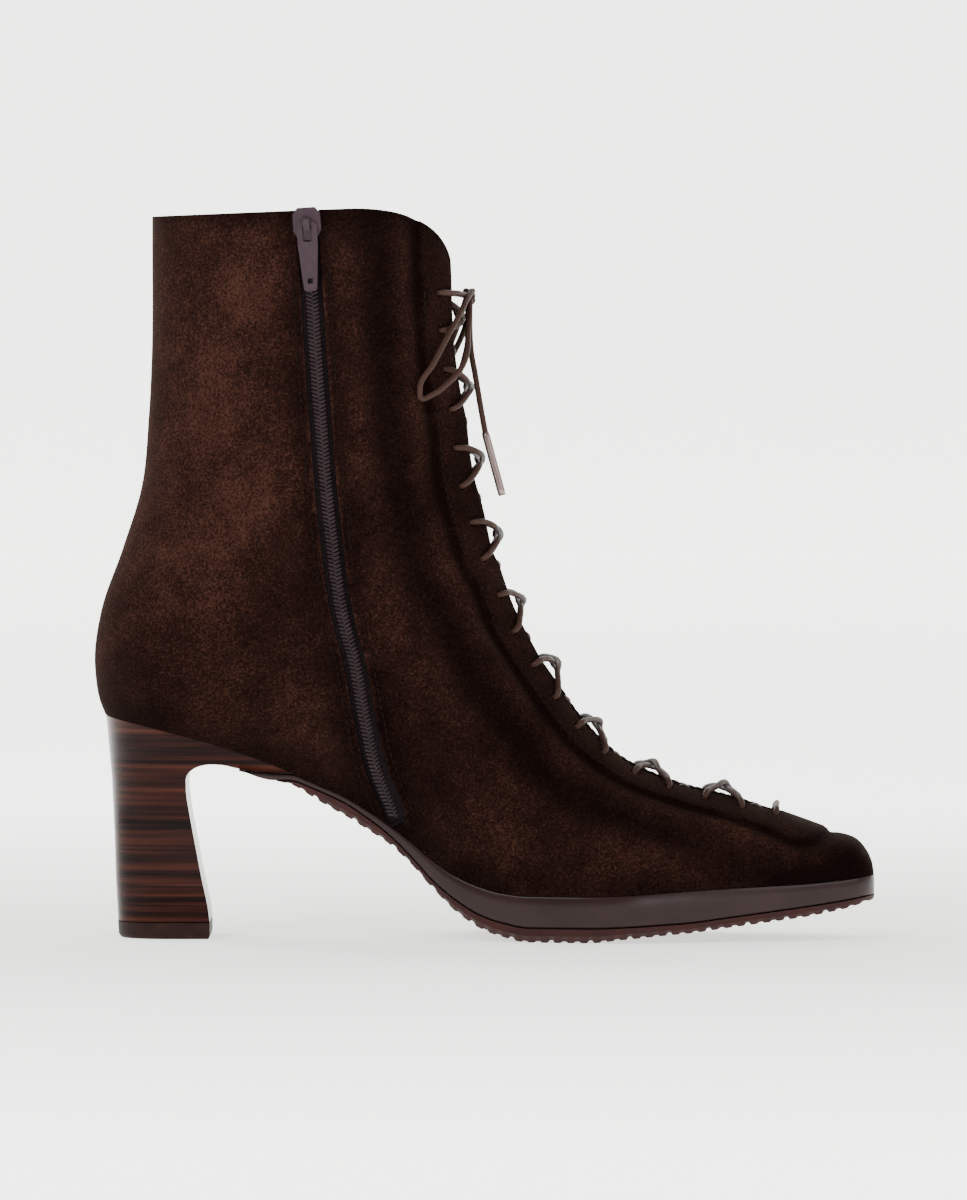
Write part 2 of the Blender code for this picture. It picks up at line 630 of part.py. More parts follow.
def upper_surface(collection, surface):
    """The open outer surface: a grid that parts at the throat and closes at the back seam."""
    rows = upper_points()
    half = (len(rows[-1])) // 2
    points, index = [], []
    for row in rows:
        closed = len(row) == 2 * half - 1
        numbers = list(range(len(points), len(points) + len(row)))
        points.extend(row)
        if closed:
            numbers.insert(half, numbers[half - 1])
        index.append(numbers)
    faces = []
    for lower, higher in zip(index[:-1], index[1:]):
        for j in range(2 * half - 1):
            if j == half - 1:
                continue
            faces.append((lower[j], lower[j + 1], higher[j + 1], higher[j]))
    tip = len(points)
    front = rows[0]
    points.append((front[0] + front[-1]) / 2)
    faces += [(index[0][j + 1], index[0][j], tip) for j in range(2 * half - 1) if j != half - 1]
    obj = mesh_object("upper", points, faces, collection, surface)
    shape = bmesh.new()
    shape.from_mesh(obj.data)
    bmesh.ops.remove_doubles(shape, verts=shape.verts, dist=2e-5)
    bmesh.ops.recalc_face_normals(shape, faces=shape.faces)
    shape.to_mesh(obj.data)
    shape.free()
    return obj


def make_upper(collection, surface):
    obj = upper_surface(collection, surface)
    skin = BVHTree.FromObject(obj, bpy.context.evaluated_depsgraph_get())
    shell = obj.modifiers.new("wall", "SOLIDIFY")
    shell.thickness = WALL
    shell.offset = -1.0
    shell.use_even_offset = True
    shell.use_rim = True
    smooth(obj)
    return obj, skin


def sole_ring(x, inset_top, inset_bottom, top, bottom):
    """Four corners of a layer of the sole at one place along it, set in from the feather line."""
    sides = [float(feather_side(x, side)) for side in (MEDIAL, LATERAL)]
    return [
        (x, -(sides[0] - inset_top), top), (x, sides[1] - inset_top, top),
        (x, sides[1] - inset_bottom, bottom), (x, -(sides[0] - inset_bottom), bottom),
    ]


def sole_stations(start, end, count, toe_turns=(0, 35, 65, 90)):
    """Places along a layer, closer together at the toe's round corners."""
    toe = [end - TOE_CORNER * (1 - math.cos(math.radians(turn))) for turn in toe_turns]
    return list(np.linspace(start, toe[-1], count)) + toe[-2::-1]


PLATFORM_SLANT = 0.0016
PLATFORM_START = 0.188
PLATFORM_STEPS = 30
OUTSOLE_START = 0.236
OUTSOLE_BEVEL = 0.0028
GROOVE_PITCH = 0.0125
GROOVE_WIDTH = 0.0020
GROOVE_DEPTH = 0.0009
GROOVE_FLANK = 0.0005


def platform_places():
    return sole_stations(PLATFORM_START * BOOT_LENGTH, BOOT_LENGTH, PLATFORM_STEPS)


def platform_slant(x):
    return PLATFORM_SLANT * float(platform_top(x) - platform_bottom(x)) / PLATFORM_THICKNESS


def make_platform(collection, surface):
    rings = []
    for x in platform_places():
        top, bottom = float(platform_top(x)), float(platform_bottom(x))
        rings.append(sole_ring(x, 0.0, platform_slant(x), top, bottom))
    obj = loft("platform", rings, collection, surface)
    smooth(obj)
    return obj


def groove_places():
    """Where the grooves between the outsole's lugs start and end: four places each, flanks included."""
    first = OUTSOLE_START * BOOT_LENGTH + GROOVE_PITCH
    count = int((BOOT_LENGTH - TOE_CORNER - GROOVE_WIDTH - first) / GROOVE_PITCH) + 1
    half = GROOVE_WIDTH / 2
    corners = (-half, GROOVE_FLANK - half, half - GROOVE_FLANK, half)
    return [first + i * GROOVE_PITCH + corner for i in range(count) for corner in corners]


def make_outsole(collection, surface):
    """It follows the platform's underside, so it has all of the platform's places as well as its own."""
    under = platform_places()
    heights = [float(platform_bottom(x)) - GAP for x in under]
    grooves = groove_places()
    depths = [0.0, 1.0, 1.0, 0.0] * (len(grooves) // 4)
    start = OUTSOLE_START * BOOT_LENGTH
    rings = []
    for x in sorted([start] + grooves + [x for x in under if x > start]):
        top = float(np.interp(x, under, heights))
        thick = top - float(outsole_bottom(x))
        groove = min(GROOVE_DEPTH, thick / 3) * float(np.interp(x, grooves, depths))
        slant = platform_slant(x)
        bevel = slant + OUTSOLE_BEVEL * thick / OUTSOLE_THICKNESS
        medial, lateral = (float(feather_side(x, side)) for side in (MEDIAL, LATERAL))
        edge, low = top - thick / 2, top - thick + groove
        rings.append([
            (x, slant - medial, top), (x, lateral - slant, top),
            (x, lateral - slant - GAP, edge), (x, lateral - bevel, low),
            (x, bevel - medial, low), (x, slant + GAP - medial, edge),
        ])
    obj = loft("outsole", rings, collection, surface)
    smooth(obj)
    return obj


INSOLE_SEAT_TURNS = (16, 40, 65, 90)
INSOLE_PITCH = 0.010
INSOLE_STEPS = 17


def make_insole(collection, surface):
    rings = []
    inset = WALL + INSOLE_INSET
    start, end = SEAT_SETBACK + inset, BOOT_LENGTH - inset
    stretch = (end - start) / (BOOT_LENGTH - SEAT_SETBACK)
    seat = [SEAT_SETBACK + SEAT_ROUND * (1 - math.cos(math.radians(turn))) for turn in INSOLE_SEAT_TURNS]
    for along in seat + sole_stations(SEAT_SETBACK + SEAT_ROUND + INSOLE_PITCH, BOOT_LENGTH, INSOLE_STEPS):
        x = start + (along - SEAT_SETBACK) * stretch
        bottom = float(feather_height(x)) + GAP
        sides = [max(float(feather_side(along, side)) - inset, 0.002) for side in (MEDIAL, LATERAL)]
        rings.append([
            (x, -sides[0], bottom + INSOLE), (x, sides[1], bottom + INSOLE),
            (x, sides[1], bottom), (x, -sides[0], bottom),
        ])
    obj = loft("insole", rings, collection, surface)
    smooth(obj)
    return obj


TONGUE_STEPS = 17
TONGUE_DEPTH = WALL - STAY_STEP + LACE + CROSSING_SPREAD + 4 * GAP
TONGUE_START = 0.0016
TONGUE_SIDE_SHARES = (1.0, 0.5, 0.0)
TONGUE_GAP_SHARES = (0.25, 0.5, 0.75)


def hole_stations():
    """Stations of the lace holes, evenly spaced along the throat's edge, from the toe up."""
    tries = np.linspace(THROAT_STATION + BOTTOM_HOLE_RISE, STATIONS[-1], 120)
    edge = np.array([on_upper(t, MEDIAL, 0.0) for t in tries])
    length = np.concatenate([[0.0], np.cumsum(np.linalg.norm(np.diff(edge, axis=0), axis=1))])
    top = np.interp(BOOT_HEIGHT - TOP_HOLE_DROP, edge[:, 2], length)
    return [float(np.interp(share * top, length, tries)) for share in np.linspace(0, 1, HOLE_PAIRS)]


def tongue_sheet(depth, stations):
    rows = []
    for station in stations:
        under = [TONGUE_UNDERLAP * share for share in TONGUE_SIDE_SHARES]
        medial = [on_upper(station, MEDIAL, reach, -depth) for reach in under]
        middle = [on_throat(station, share, -depth) for share in TONGUE_GAP_SHARES]
        lateral = [on_upper(station, LATERAL, reach, -depth) for reach in under[::-1]]
        rows.append(medial + middle + lateral)
    return rows


def make_tongue(collection, surface):
    """Sewn under the vamp at its toe end, where it lies close to the upper, and free up to its top."""
    holes = hole_stations()
    top = holes[-1] + TONGUE_ABOVE_HOLES
    outer = tongue_sheet(TONGUE_DEPTH, np.linspace(THROAT_STATION + TONGUE_START, top, TONGUE_STEPS))
    columns = len(outer[0])
    points = [p for row in outer for p in row]
    obj = mesh_object("tongue", points, grid_faces(len(outer), columns), collection, surface)
    face_outwards(obj)
    if sum(face.normal.x for face in obj.data.polygons) < 0:
        obj.data.flip_normals()
    shell = obj.modifiers.new("thickness", "SOLIDIFY")
    shell.thickness = TONGUE
    shell.offset = -1.0
    shell.use_even_offset = True
    smooth(obj)
    return obj


def heel_surroundings():
    """Side outline of all that lies above the seat, below the lip and in front of the breast."""
    above, beyond, below = BOOT_HEIGHT / 2, BOOT_LENGTH / 2, -LIFT
    seat = [x * BOOT_LENGTH for x in SEAT_PLACES]
    seat_line = [(x, float(feather_height(x)) - SOLE_GAP) for x in seat]
    lip = [(x * BOOT_LENGTH, float(platform_top(x * BOOT_LENGTH)) + SOLE_GAP) for x in LIP_PLACES]
    breast = [(x * BOOT_LENGTH, z * HEEL_HEIGHT) for x, z in HEEL_BREAST]
    foot = (breast[0][0], below)
    start = (-SEAT_SETBACK, seat_line[0][1])
    around = [(start[0], above), start] + seat_line + lip + breast[::-1]
    return around + [foot, (beyond, below), (beyond, above)]


def flat_prism(name, outline, low, high, collection, surface):
    """A solid with a flat outline in the XZ plane, from y = low to y = high."""
    count = len(outline)
    points = [(x, low, z) for x, z in outline] + [(x, high, z) for x, z in outline]
    faces = [tuple(range(count)), tuple(range(2 * count - 1, count - 1, -1))]
    faces += [(i, (i + 1) % count, (i + 1) % count + count, i + count) for i in range(count)]
    obj = mesh_object(name, points, faces, collection, surface)
    face_outwards(obj)
    return obj


HEEL_CORNER_TURNS = (0, 22, 45, 68, 90)
HEEL_MIDDLE_PLACE = 0.20


def heel_ring(z, half, back, front, corner):
    """A D-shaped ring at one height: round at the back, square at the breast."""
    across = HEEL_MIDDLE_PLACE * BOOT_LENGTH
    middle = float(feather_side(across, LATERAL) - feather_side(across, MEDIAL)) / 2
    ring = []
    for turn in HEEL_CORNER_TURNS:
        angle = math.radians(turn)
        out = middle + half - corner * (1 - math.cos(angle))
        ring.append((back + corner * (1 - math.sin(angle)), out, z))
    mirrored = [(x, 2 * middle - y, z) for x, y, z in ring[::-1]]
    return [(front, middle + half, z)] + ring + mirrored + [(front, middle - half, z)]


def heel_half(z):
    shares, halves = zip(*HEEL_WIDTHS)
    return HEEL_TOP_HALF * float(curve_through(shares, halves, z / HEEL_HEIGHT, flat=True))


def heel_back(z):
    places = sorted((share, x) for x, share in HEEL_BACK[1:]) + [(1.0, SEAT_SETBACK / BOOT_LENGTH)]
    return BOOT_LENGTH * float(np.interp(z / HEEL_HEIGHT, [p[0] for p in places], [p[1] for p in places]))


HEEL_CORNER = 0.0140
SEAT_CORNER = 0.0262
SEAT_PLACES = (0.0, 0.05, 0.10, 0.153, 0.188, 0.228, 0.258)
LIP_PLACES = (0.258, 0.228, 0.192)

# Shares of the heel's height where its rings lie and where its back starts to widen, the share over
# which it does, and the place along the boot that its blank reaches
HEEL_LEVELS = (0.25, 0.50, 0.68, 0.80, 0.90, 1.03)
WIDENS_FROM = 0.5
WIDENS_OVER = 0.42
HEEL_BLANK_END = 0.30


def make_heel(collection, cutters, surface):
    """A D-shaped column, cut to the seat, the lip and the hollow breast."""
    rings = []
    front = HEEL_BLANK_END * BOOT_LENGTH
    for share in ((LIFT + GAP) / HEEL_HEIGHT,) + HEEL_LEVELS:
        z = share * HEEL_HEIGHT
        grown = min(max((share - WIDENS_FROM) / WIDENS_OVER, 0.0), 1.0)
        corner = min(HEEL_CORNER + (SEAT_CORNER - HEEL_CORNER) * grown, 0.95 * heel_half(z))
        rings.append(heel_ring(z, heel_half(z), heel_back(z), front, corner))
    obj = loft("heel", rings, collection, surface)
    half = 1.5 * HEEL_TOP_HALF
    around = flat_prism("heel_surroundings", heel_surroundings(), -half, half, cutters, surface)
    hide_cutter(around)
    add_boolean(obj, around, solver="MANIFOLD")
    smooth(obj, 35)
    return obj


# Rounding of the lift's lower edge, narrower at the breast than at the back
LIFT_EDGE = 0.0012
LIFT_BREAST_EDGE = 0.0004
LIFT_BACK_EDGE = 0.0016


def make_lift(collection, surface):
    front = HEEL_BREAST[0][0] * BOOT_LENGTH
    back = HEEL_BACK[0][0] * BOOT_LENGTH
    half = heel_half(0.0)
    rings = [
        heel_ring(
            0.0, half - LIFT_EDGE, back + LIFT_BACK_EDGE, front - LIFT_BREAST_EDGE, HEEL_CORNER
        ),
        heel_ring(LIFT_EDGE, half, back, front, HEEL_CORNER),
        heel_ring(LIFT, half, back, front, HEEL_CORNER),
    ]
    obj = loft("heel_lift", rings, collection, surface)
    smooth(obj, 35)
    return obj


def smooth_points(route, spacing):
    """Points about this far apart on a smooth curve through a route's points."""
    route = np.array(route, float)
    length = np.concatenate([[0.0], np.cumsum(np.linalg.norm(np.diff(route, axis=0), axis=1))])
    places = np.linspace(0.0, length[-1], max(int(round(length[-1] / spacing)), 2) + 1)
    return np.column_stack([curve_through(length, route[:, axis], places) for axis in range(3)])


def tube(name, points, diameter, collection, surface, resolution=2):
    """A round cord along these points, as a curve with a bevel and filled caps."""
    data = bpy.data.curves.new(name, "CURVE")
    data.dimensions = "3D"
    data.bevel_depth = diameter / 2
    data.bevel_resolution = resolution
    data.use_fill_caps = True
    spline = data.splines.new("POLY")
    spline.points.add(len(points) - 1)
    for place, point in zip(spline.points, points):
        place.co = (*(float(c) for c in point), 1.0)
    data.materials.append(surface)
    obj = bpy.data.objects.new(name, data)
    collection.objects.link(obj)
    return obj


def as_mesh(curve):
    """The curve's object as a mesh object of the same name, its caps welded on."""
    name, collection = curve.name, curve.users_collection[0]
    graph = bpy.context.evaluated_depsgraph_get()
    data = bpy.data.meshes.new_from_object(curve.evaluated_get(graph))
    place = curve.matrix_world.copy()
    bpy.data.objects.remove(curve, do_unlink=True)
    obj = bpy.data.objects.new(name, data)
    obj.matrix_world = place
    collection.objects.link(obj)
    face_outwards(obj)
    return obj


FACING_LIFT = STAY_STEP + GAP + LACE / 2
UNDER_LIFT = STAY_STEP - WALL - GAP - LACE / 2
EDGE_CLEARANCE = 0.0004
OUTER_SPACING = 0.0062
INNER_SPACING = 0.0082
TOP_SPACING = 0.0040


def outer_strand(holes, start_side, spread):
    """One strand from a hole over its facing, the throat and the other facing to the next hole."""
    first, second = holes
    span = second - first
    lift = FACING_LIFT + EDGE_CLEARANCE
    middle = on_throat((first + second) / 2, 0.5, LACE / 2 + OUTER_CROSSING_RISE + spread)
    return [
        on_upper(first, start_side, HOLE_SETBACK, FACING_LIFT),
        on_upper(first + 0.22 * span, start_side, 0.0, lift),
        middle,
        on_upper(second - 0.22 * span, -start_side, 0.0, lift),
        on_upper(second, -start_side, HOLE_SETBACK, FACING_LIFT),
    ]


def inner_strand(holes, start_side, spread):
    """One strand below the facings and over the tongue, from a hole to the next on the other side."""
    first, second = holes
    span = second - first
    shares = (0.08, 0.5, 0.92)
    begin, end = (0.0, 1.0) if start_side == MEDIAL else (1.0, 0.0)
    lift = UNDER_LIFT - CROSSING_SPREAD / 2
    points = [on_upper(first, start_side, HOLE_SETBACK, UNDER_LIFT)]
    for share in shares:
        across = begin + (end - begin) * share
        deep = lift + (spread if share == 0.5 else 0.0)
        points.append(on_throat(first + (0.2 + 0.6 * share) * span, across, deep))
    return points + [on_upper(second, -start_side, HOLE_SETBACK, UNDER_LIFT)]


def top_strand(holes, start_side, spread):
    """Out of the last hole but one, across the throat, and in below the other facing's edge."""
    first, second = holes
    span = second - first
    beside, below = (0.17, 0.06) if start_side == LATERAL else (0.83, 0.94)
    return [
        on_upper(first, start_side, HOLE_SETBACK, FACING_LIFT),
        on_upper(first + 0.15 * span, start_side, 0.0, FACING_LIFT + EDGE_CLEARANCE),
        on_throat(first + 0.45 * span, 0.5, LACE / 2 + GAP + spread),
        on_throat(first + 0.72 * span, beside, -0.3 * LACE),
        on_throat(first + 0.84 * span, below, UNDER_LIFT),
        on_upper(second, -start_side, 0.4 * HOLE_SETBACK, UNDER_LIFT - EDGE_CLEARANCE),
    ]


def bar_route(station, setback):
    """A straight bar from one hole over both facings to the hole opposite."""
    lift = FACING_LIFT + EDGE_CLEARANCE
    return [
        on_upper(station, MEDIAL, setback, FACING_LIFT),
        on_upper(station, MEDIAL, 0.0, lift),
        on_throat(station, 0.5, LACE / 2 + GAP),
        on_upper(station, LATERAL, 0.0, lift),
        on_upper(station, LATERAL, setback, FACING_LIFT),
    ]


def crossing(name, strand, holes, spacing, parts, cutters, surface):
    """Two strands joined where they cross."""
    spread = CROSSING_SPREAD / 2
    over = smooth_points(strand(holes, MEDIAL, spread), spacing)
    under = smooth_points(strand(holes, LATERAL, -spread), spacing)
    first = as_mesh(tube(name, over, LACE, parts, surface, 1))
    second = as_mesh(tube(f"{name}_other", under, LACE, cutters, surface, 1))
    hide_cutter(second)
    add_boolean(first, second, "UNION")
    smooth(first, 60)


BAR_SETBACK = 0.0045


def make_lacing(parts, cutters, surface):
    holes = hole_stations()
    for name, station, setback in (
        ("lace_bar_bottom", holes[0], BAR_SETBACK), ("lace_bar_top", holes[-1], HOLE_SETBACK),
    ):
        tube(name, smooth_points(bar_route(station, setback), OUTER_SPACING), LACE, parts, surface)
    for i in range(HOLE_PAIRS - 2):
        pair = (holes[i], holes[i + 1])
        number = i // 2 + 1
        if i % 2:
            crossing(f"lace_over_{number}", outer_strand, pair, OUTER_SPACING, parts, cutters, surface)
        else:
            crossing(f"lace_under_{number}", inner_strand, pair, INNER_SPACING, parts, cutters, surface)
    crossing("lace_over_top", top_strand, (holes[-2], holes[-1]), TOP_SPACING, parts, cutters, surface)


def make_hole_cutter(upper, cutters, surface):
    """Punched holes: one round pin through the wall at each place."""
    shape = bmesh.new()
    for i, station in enumerate(hole_stations()):
        setback = BAR_SETBACK if i == 0 else HOLE_SETBACK
        for side in (MEDIAL, LATERAL):
            centre = Vector(on_upper(station, side, setback, (STAY_STEP - WALL) / 2))
            outward = Vector(on_upper(station, side, setback, WALL)) - Vector(on_upper(station, side, setback))
            turn = outward.to_track_quat("Z", "Y").to_matrix().to_4x4()
            bmesh.ops.create_cone(
                shape, cap_ends=True, segments=6, radius1=HOLE / 2, radius2=HOLE / 2,
                depth=2.2 * WALL, matrix=Matrix.Translation(centre) @ turn,
            )
    data = bpy.data.meshes.new("lace_holes")
    shape.to_mesh(data)
    shape.free()
    obj = bpy.data.objects.new("lace_holes", data)
    cutters.objects.link(obj)
    hide_cutter(obj)
    add_boolean(upper, obj)


def make_bow(parts, surface, metal):
    shape = bmesh.new()
    bmesh.ops.create_uvsphere(shape, u_segments=10, v_segments=6, radius=0.5)
    bmesh.ops.scale(shape, verts=shape.verts, vec=KNOT_SIZE)
    data = bpy.data.meshes.new("lace_knot")
    shape.to_mesh(data)
    shape.free()
    knot = bpy.data.objects.new("lace_knot", data)
    knot.location = KNOT
    data.materials.append(surface)
    data.shade_smooth()
    parts.objects.link(knot)
    spacing = 2.6 * LACE
    for name, route in (
        ("lace_loop_medial", MEDIAL_LOOP), ("lace_loop_lateral", LATERAL_LOOP),
        ("lace_end_medial", MEDIAL_END), ("lace_end_lateral", LATERAL_END),
    ):
        tube(name, smooth_points(route, spacing), LACE, parts, surface)
    for name, route in (("aglet_medial", MEDIAL_AGLET), ("aglet_lateral", LATERAL_AGLET)):
        tube(name, np.array(route), AGLET, parts, metal)


# The zip: its recess below the upper's face, how far its tape stops below the collar, and its steps
ZIP_RECESS = 0.0013
ZIP_STEPS = 18
ZIP_TOP = 0.974
ZIP_END_TURNS = (-60, -20, 20, 60)


def zip_middle(rise):
    """Middle of the zip in the side view, as (x, z), at a share of the way up to the collar."""
    shares = [row[1] for row in ZIP_LINE]
    x = BOOT_LENGTH * float(curve_through(shares, [row[0] for row in ZIP_LINE], rise))
    foot = float(feather_height(x))
    return np.array([x, foot + rise * (BOOT_HEIGHT - foot)])


def zip_across(rise):
    """Unit vector across the zip in the side view, towards the toe."""
    step = 0.01
    along = zip_middle(min(rise + step, ZIP_LINE[-1][1])) - zip_middle(max(rise - step, ZIP_LINE[0][1]))
    along /= np.linalg.norm(along)
    return np.array([along[1], -along[0]])


def zip_outline(half, top):
    """The slot seen from the side: up one edge, down the other, and round below."""
    rises = np.linspace(ZIP_LINE[0][1], ZIP_TOP, ZIP_STEPS)
    front = [zip_middle(r) + half * zip_across(r) for r in rises]
    back = [zip_middle(r) - half * zip_across(r) for r in rises]
    if top:
        front.append(front[-1] + (0.0, top))
        back.append(back[-1] + (0.0, top))
    foot, across = zip_middle(rises[0]), zip_across(rises[0])
    down = np.array([across[1], -across[0]])
    end = [
        foot + half * (math.sin(math.radians(t)) * across + math.cos(math.radians(t)) * down)
        for t in ZIP_END_TURNS
    ]
    return front + back[::-1] + end


def skin_spot(skin, place):
    """Where the medial face of the upper lies at an (x, z) place, and its outward normal."""
    spot, normal, _, _ = skin.ray_cast(Vector((place[0], -BALL_WIDTH, place[1])), Vector((0, 1, 0)))
    return spot, normal


def zip_strip(name, half, outer, thickness, skin, collection, surface):
    """A strip that follows the zip's line at a depth below the upper's face."""
    rings = []
    for rise in np.linspace(ZIP_LINE[0][1], ZIP_TOP, ZIP_STEPS):
        middle, across = zip_middle(rise), zip_across(rise)
        ends = [middle + side * half * across for side in (-1, 1)]
        faces = [skin_spot(skin, end)[0].y for end in ends]
        ring = [(end[0], y + outer, end[1]) for end, y in zip(ends, faces)]
        ring += [(end[0], y + outer + thickness, end[1]) for end, y in list(zip(ends, faces))[::-1]]
        rings.append(ring)
    obj = loft(name, rings, collection, surface)
    smooth(obj)
    return obj


def make_zip(parts, cutters, upper, skin, cloth):
    slot = flat_prism("zip_slot", zip_outline(ZIP_SLOT / 2, 0.02), -BALL_WIDTH, -0.008, cutters, cloth)
    hide_cutter(slot)
    add_boolean(upper, slot)
    zip_strip("zip_tape", ZIP_SLOT / 2 - GAP, ZIP_RECESS, ZIP_TAPE, skin, parts, cloth)
    zip_strip("zip_coil", COIL_WIDTH / 2, ZIP_RECESS - GAP - COIL, COIL, skin, parts, cloth)


SLIDER_RISE = 0.969
PULL_SLOT = (0.0030, 0.0052)
END_HOLE = 0.0016
BAR_CLEARANCE = 0.00035
BAR_TURN = math.hypot(PULL_BAR, PULL) / 2
HINGE_RISE = BAR_TURN + BAR_CLEARANCE
ARCH_RISE = HINGE_RISE + BAR_TURN + BAR_CLEARANCE + ARCH_WALL
SMALL_CHAMFER = 0.0006


def slider_frame(skin):
    """The slider's place on the upper: its first axis crosses the zip, its second points up the zip."""
    spot, normal = skin_spot(skin, zip_middle(SLIDER_RISE))
    below, _ = skin_spot(skin, zip_middle(SLIDER_RISE - 0.04))
    up = (spot - below).normalized()
    across = up.cross(normal).normalized()
    outward = across.cross(up).normalized()
    spot = spot + outward * GAP
    frame = Matrix((across, up, outward)).transposed().to_4x4()
    return Matrix.Translation(spot) @ frame


def plate(name, outline, low, high, collection, surface):
    """A flat solid from w = low to w = high, with its outline in its own u and v axes."""
    count = len(outline)
    points = [(u, v, low) for u, v in outline] + [(u, v, high) for u, v in outline]
    faces = [tuple(range(count)), tuple(range(2 * count - 1, count - 1, -1))]
    faces += [(i, (i + 1) % count, (i + 1) % count + count, i + count) for i in range(count)]
    obj = mesh_object(name, points, faces, collection, surface)
    face_outwards(obj)
    return obj


def make_slider(parts, cutters, skin, metal):
    wide, tall, thick = SLIDER
    outline = [
        (-0.30 * wide, -0.5 * tall), (0.30 * wide, -0.5 * tall), (0.5 * wide, -0.2 * tall),
        (0.5 * wide, 0.3 * tall), (0.32 * wide, 0.5 * tall), (-0.32 * wide, 0.5 * tall),
        (-0.5 * wide, 0.3 * tall), (-0.5 * wide, -0.2 * tall),
    ]
    frame = slider_frame(skin)
    slider = plate("zip_slider", outline, 0.0, thick, parts, metal)
    slider.matrix_world = frame
    hollow = BAR_TURN + BAR_CLEARANCE
    half, rise, cut = hollow + ARCH_WALL, thick + ARCH_RISE, SMALL_CHAMFER
    outline = [
        (-half, thick / 2), (-half, rise - cut), (cut - half, rise), (half - cut, rise),
        (half, rise - cut), (half, thick / 2), (hollow, thick / 2), (hollow, rise - ARCH_WALL),
        (-hollow, rise - ARCH_WALL), (-hollow, thick / 2),
    ]
    arch = plate("zip_slider_arch", outline, -ARCH_WIDTH / 2, ARCH_WIDTH / 2, cutters, metal)
    turn = Matrix(((0, 0, 1), (1, 0, 0), (0, 1, 0))).to_4x4()
    arch.matrix_world = frame @ turn
    hide_cutter(arch)
    add_boolean(slider, arch, "UNION")
    return frame


def make_pull(parts, cutters, frame, metal):
    """The tab hangs from its top bar, which lies inside the slider's arch."""
    top, foot, cut = PULL_WIDTHS[0] / 2, PULL_WIDTHS[1] / 2, SMALL_CHAMFER
    waist = PULL_BAR / 2 - PULL_LENGTH / 3
    end = PULL_BAR / 2 - PULL_LENGTH
    outline = [
        (-0.7 * top, PULL_BAR / 2), (0.7 * top, PULL_BAR / 2), (top, -cut), (top, waist),
        (foot, end + cut), (foot - cut, end), (cut - foot, end), (-foot, end + cut),
        (-top, waist), (-top, -cut),
    ]
    pull = plate("zip_pull", outline, -PULL / 2, PULL / 2, parts, metal)
    hinge = frame @ Matrix.Translation((0.0, 0.0, SLIDER[2] + HINGE_RISE))
    pull.matrix_world = hinge
    half, begin = PULL_SLOT[0] / 2, -PULL_BAR / 2
    last = begin - PULL_SLOT[1]
    slot = [
        (-half, begin), (half, begin), (half, last + cut), (half - cut, last),
        (cut - half, last), (-half, last + cut),
    ]
    side = END_HOLE / 2
    place = end + 2 * END_HOLE
    square = [(-side, place - side), (side, place - side), (side, place + side), (-side, place + side)]
    for name, edge in (("zip_pull_slot", slot), ("zip_pull_end_hole", square)):
        cutter = plate(name, edge, -PULL, PULL, cutters, metal)
        cutter.matrix_world = hinge
        hide_cutter(cutter)
        add_boolean(pull, cutter)


def main():
    clear_scene()
    parts = new_collection(LAST_NAME)
    cutters = new_collection("cutters")
    suede = material("suede", (0.045, 0.022, 0.014), 0.95)
    lining = material("lining", (0.55, 0.32, 0.22), 0.6)
    gloss = material("platform_gloss", (0.075, 0.037, 0.037), 0.25)
    rubber = material("rubber", (0.085, 0.025, 0.018), 0.55)
    stack = material("heel_stack", (0.10, 0.035, 0.020), 0.4)
    lift = material("heel_lift", (0.03, 0.012, 0.010), 0.6)
    lace = material("waxed_lace", (0.105, 0.052, 0.042), 0.5)
    aglet = material("aglet_metal", (0.45, 0.33, 0.30), 0.3, 1.0)
    cloth = material("zip_cloth", (0.045, 0.032, 0.045), 0.6)
    zip_metal = material("zip_metal", (0.10, 0.06, 0.08), 0.35, 0.8)
    upper, skin = make_upper(parts, suede)
    make_tongue(parts, suede)
    make_insole(parts, lining)
    make_platform(parts, gloss)
    make_outsole(parts, rubber)
    make_heel(parts, cutters, stack)
    make_lift(parts, lift)
    make_zip(parts, cutters, upper, skin, cloth)
    frame = make_slider(parts, cutters, skin, zip_metal)
    make_pull(parts, cutters, frame, zip_metal)
    make_lacing(parts, cutters, lace)
    make_hole_cutter(upper, cutters, suede)
    make_bow(parts, lace, aglet)
    base = bpy.data.objects.new("boot_origin", None)
    base.location = (-BOOT_LENGTH / 2, 0.0, 0.0)
    parts.objects.link(base)
    for obj in list(parts.objects) + list(cutters.objects):
        if obj != base:
            obj.parent = base


main()
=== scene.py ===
"""Looks of the lace-up ankle boot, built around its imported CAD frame.

The boot's last, its tables and its named sizes repeat those of the part's source, in metres from the back
of the heel, and every piece is moved by half the boot's length to the frame's origin.
"""

import math

import bmesh
import bpy
import numpy as np
from mathutils import Matrix, Vector
from mathutils.bvhtree import BVHTree


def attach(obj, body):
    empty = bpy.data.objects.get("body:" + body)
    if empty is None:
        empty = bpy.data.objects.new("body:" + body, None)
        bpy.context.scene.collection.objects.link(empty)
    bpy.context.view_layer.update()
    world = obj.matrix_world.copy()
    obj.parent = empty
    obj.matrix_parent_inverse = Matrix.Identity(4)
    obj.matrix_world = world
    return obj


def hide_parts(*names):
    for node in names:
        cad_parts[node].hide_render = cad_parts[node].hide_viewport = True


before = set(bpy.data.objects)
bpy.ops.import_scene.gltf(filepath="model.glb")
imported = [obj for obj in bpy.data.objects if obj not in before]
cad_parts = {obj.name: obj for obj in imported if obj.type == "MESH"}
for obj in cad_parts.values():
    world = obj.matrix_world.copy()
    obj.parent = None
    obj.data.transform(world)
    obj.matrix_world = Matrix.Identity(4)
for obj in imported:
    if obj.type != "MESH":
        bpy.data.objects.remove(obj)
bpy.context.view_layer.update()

# Driving sizes of the last and the boot, in metres
BOOT_LENGTH = 0.250
BALL_WIDTH = 0.0886
SHAFT_WIDTH = 0.067
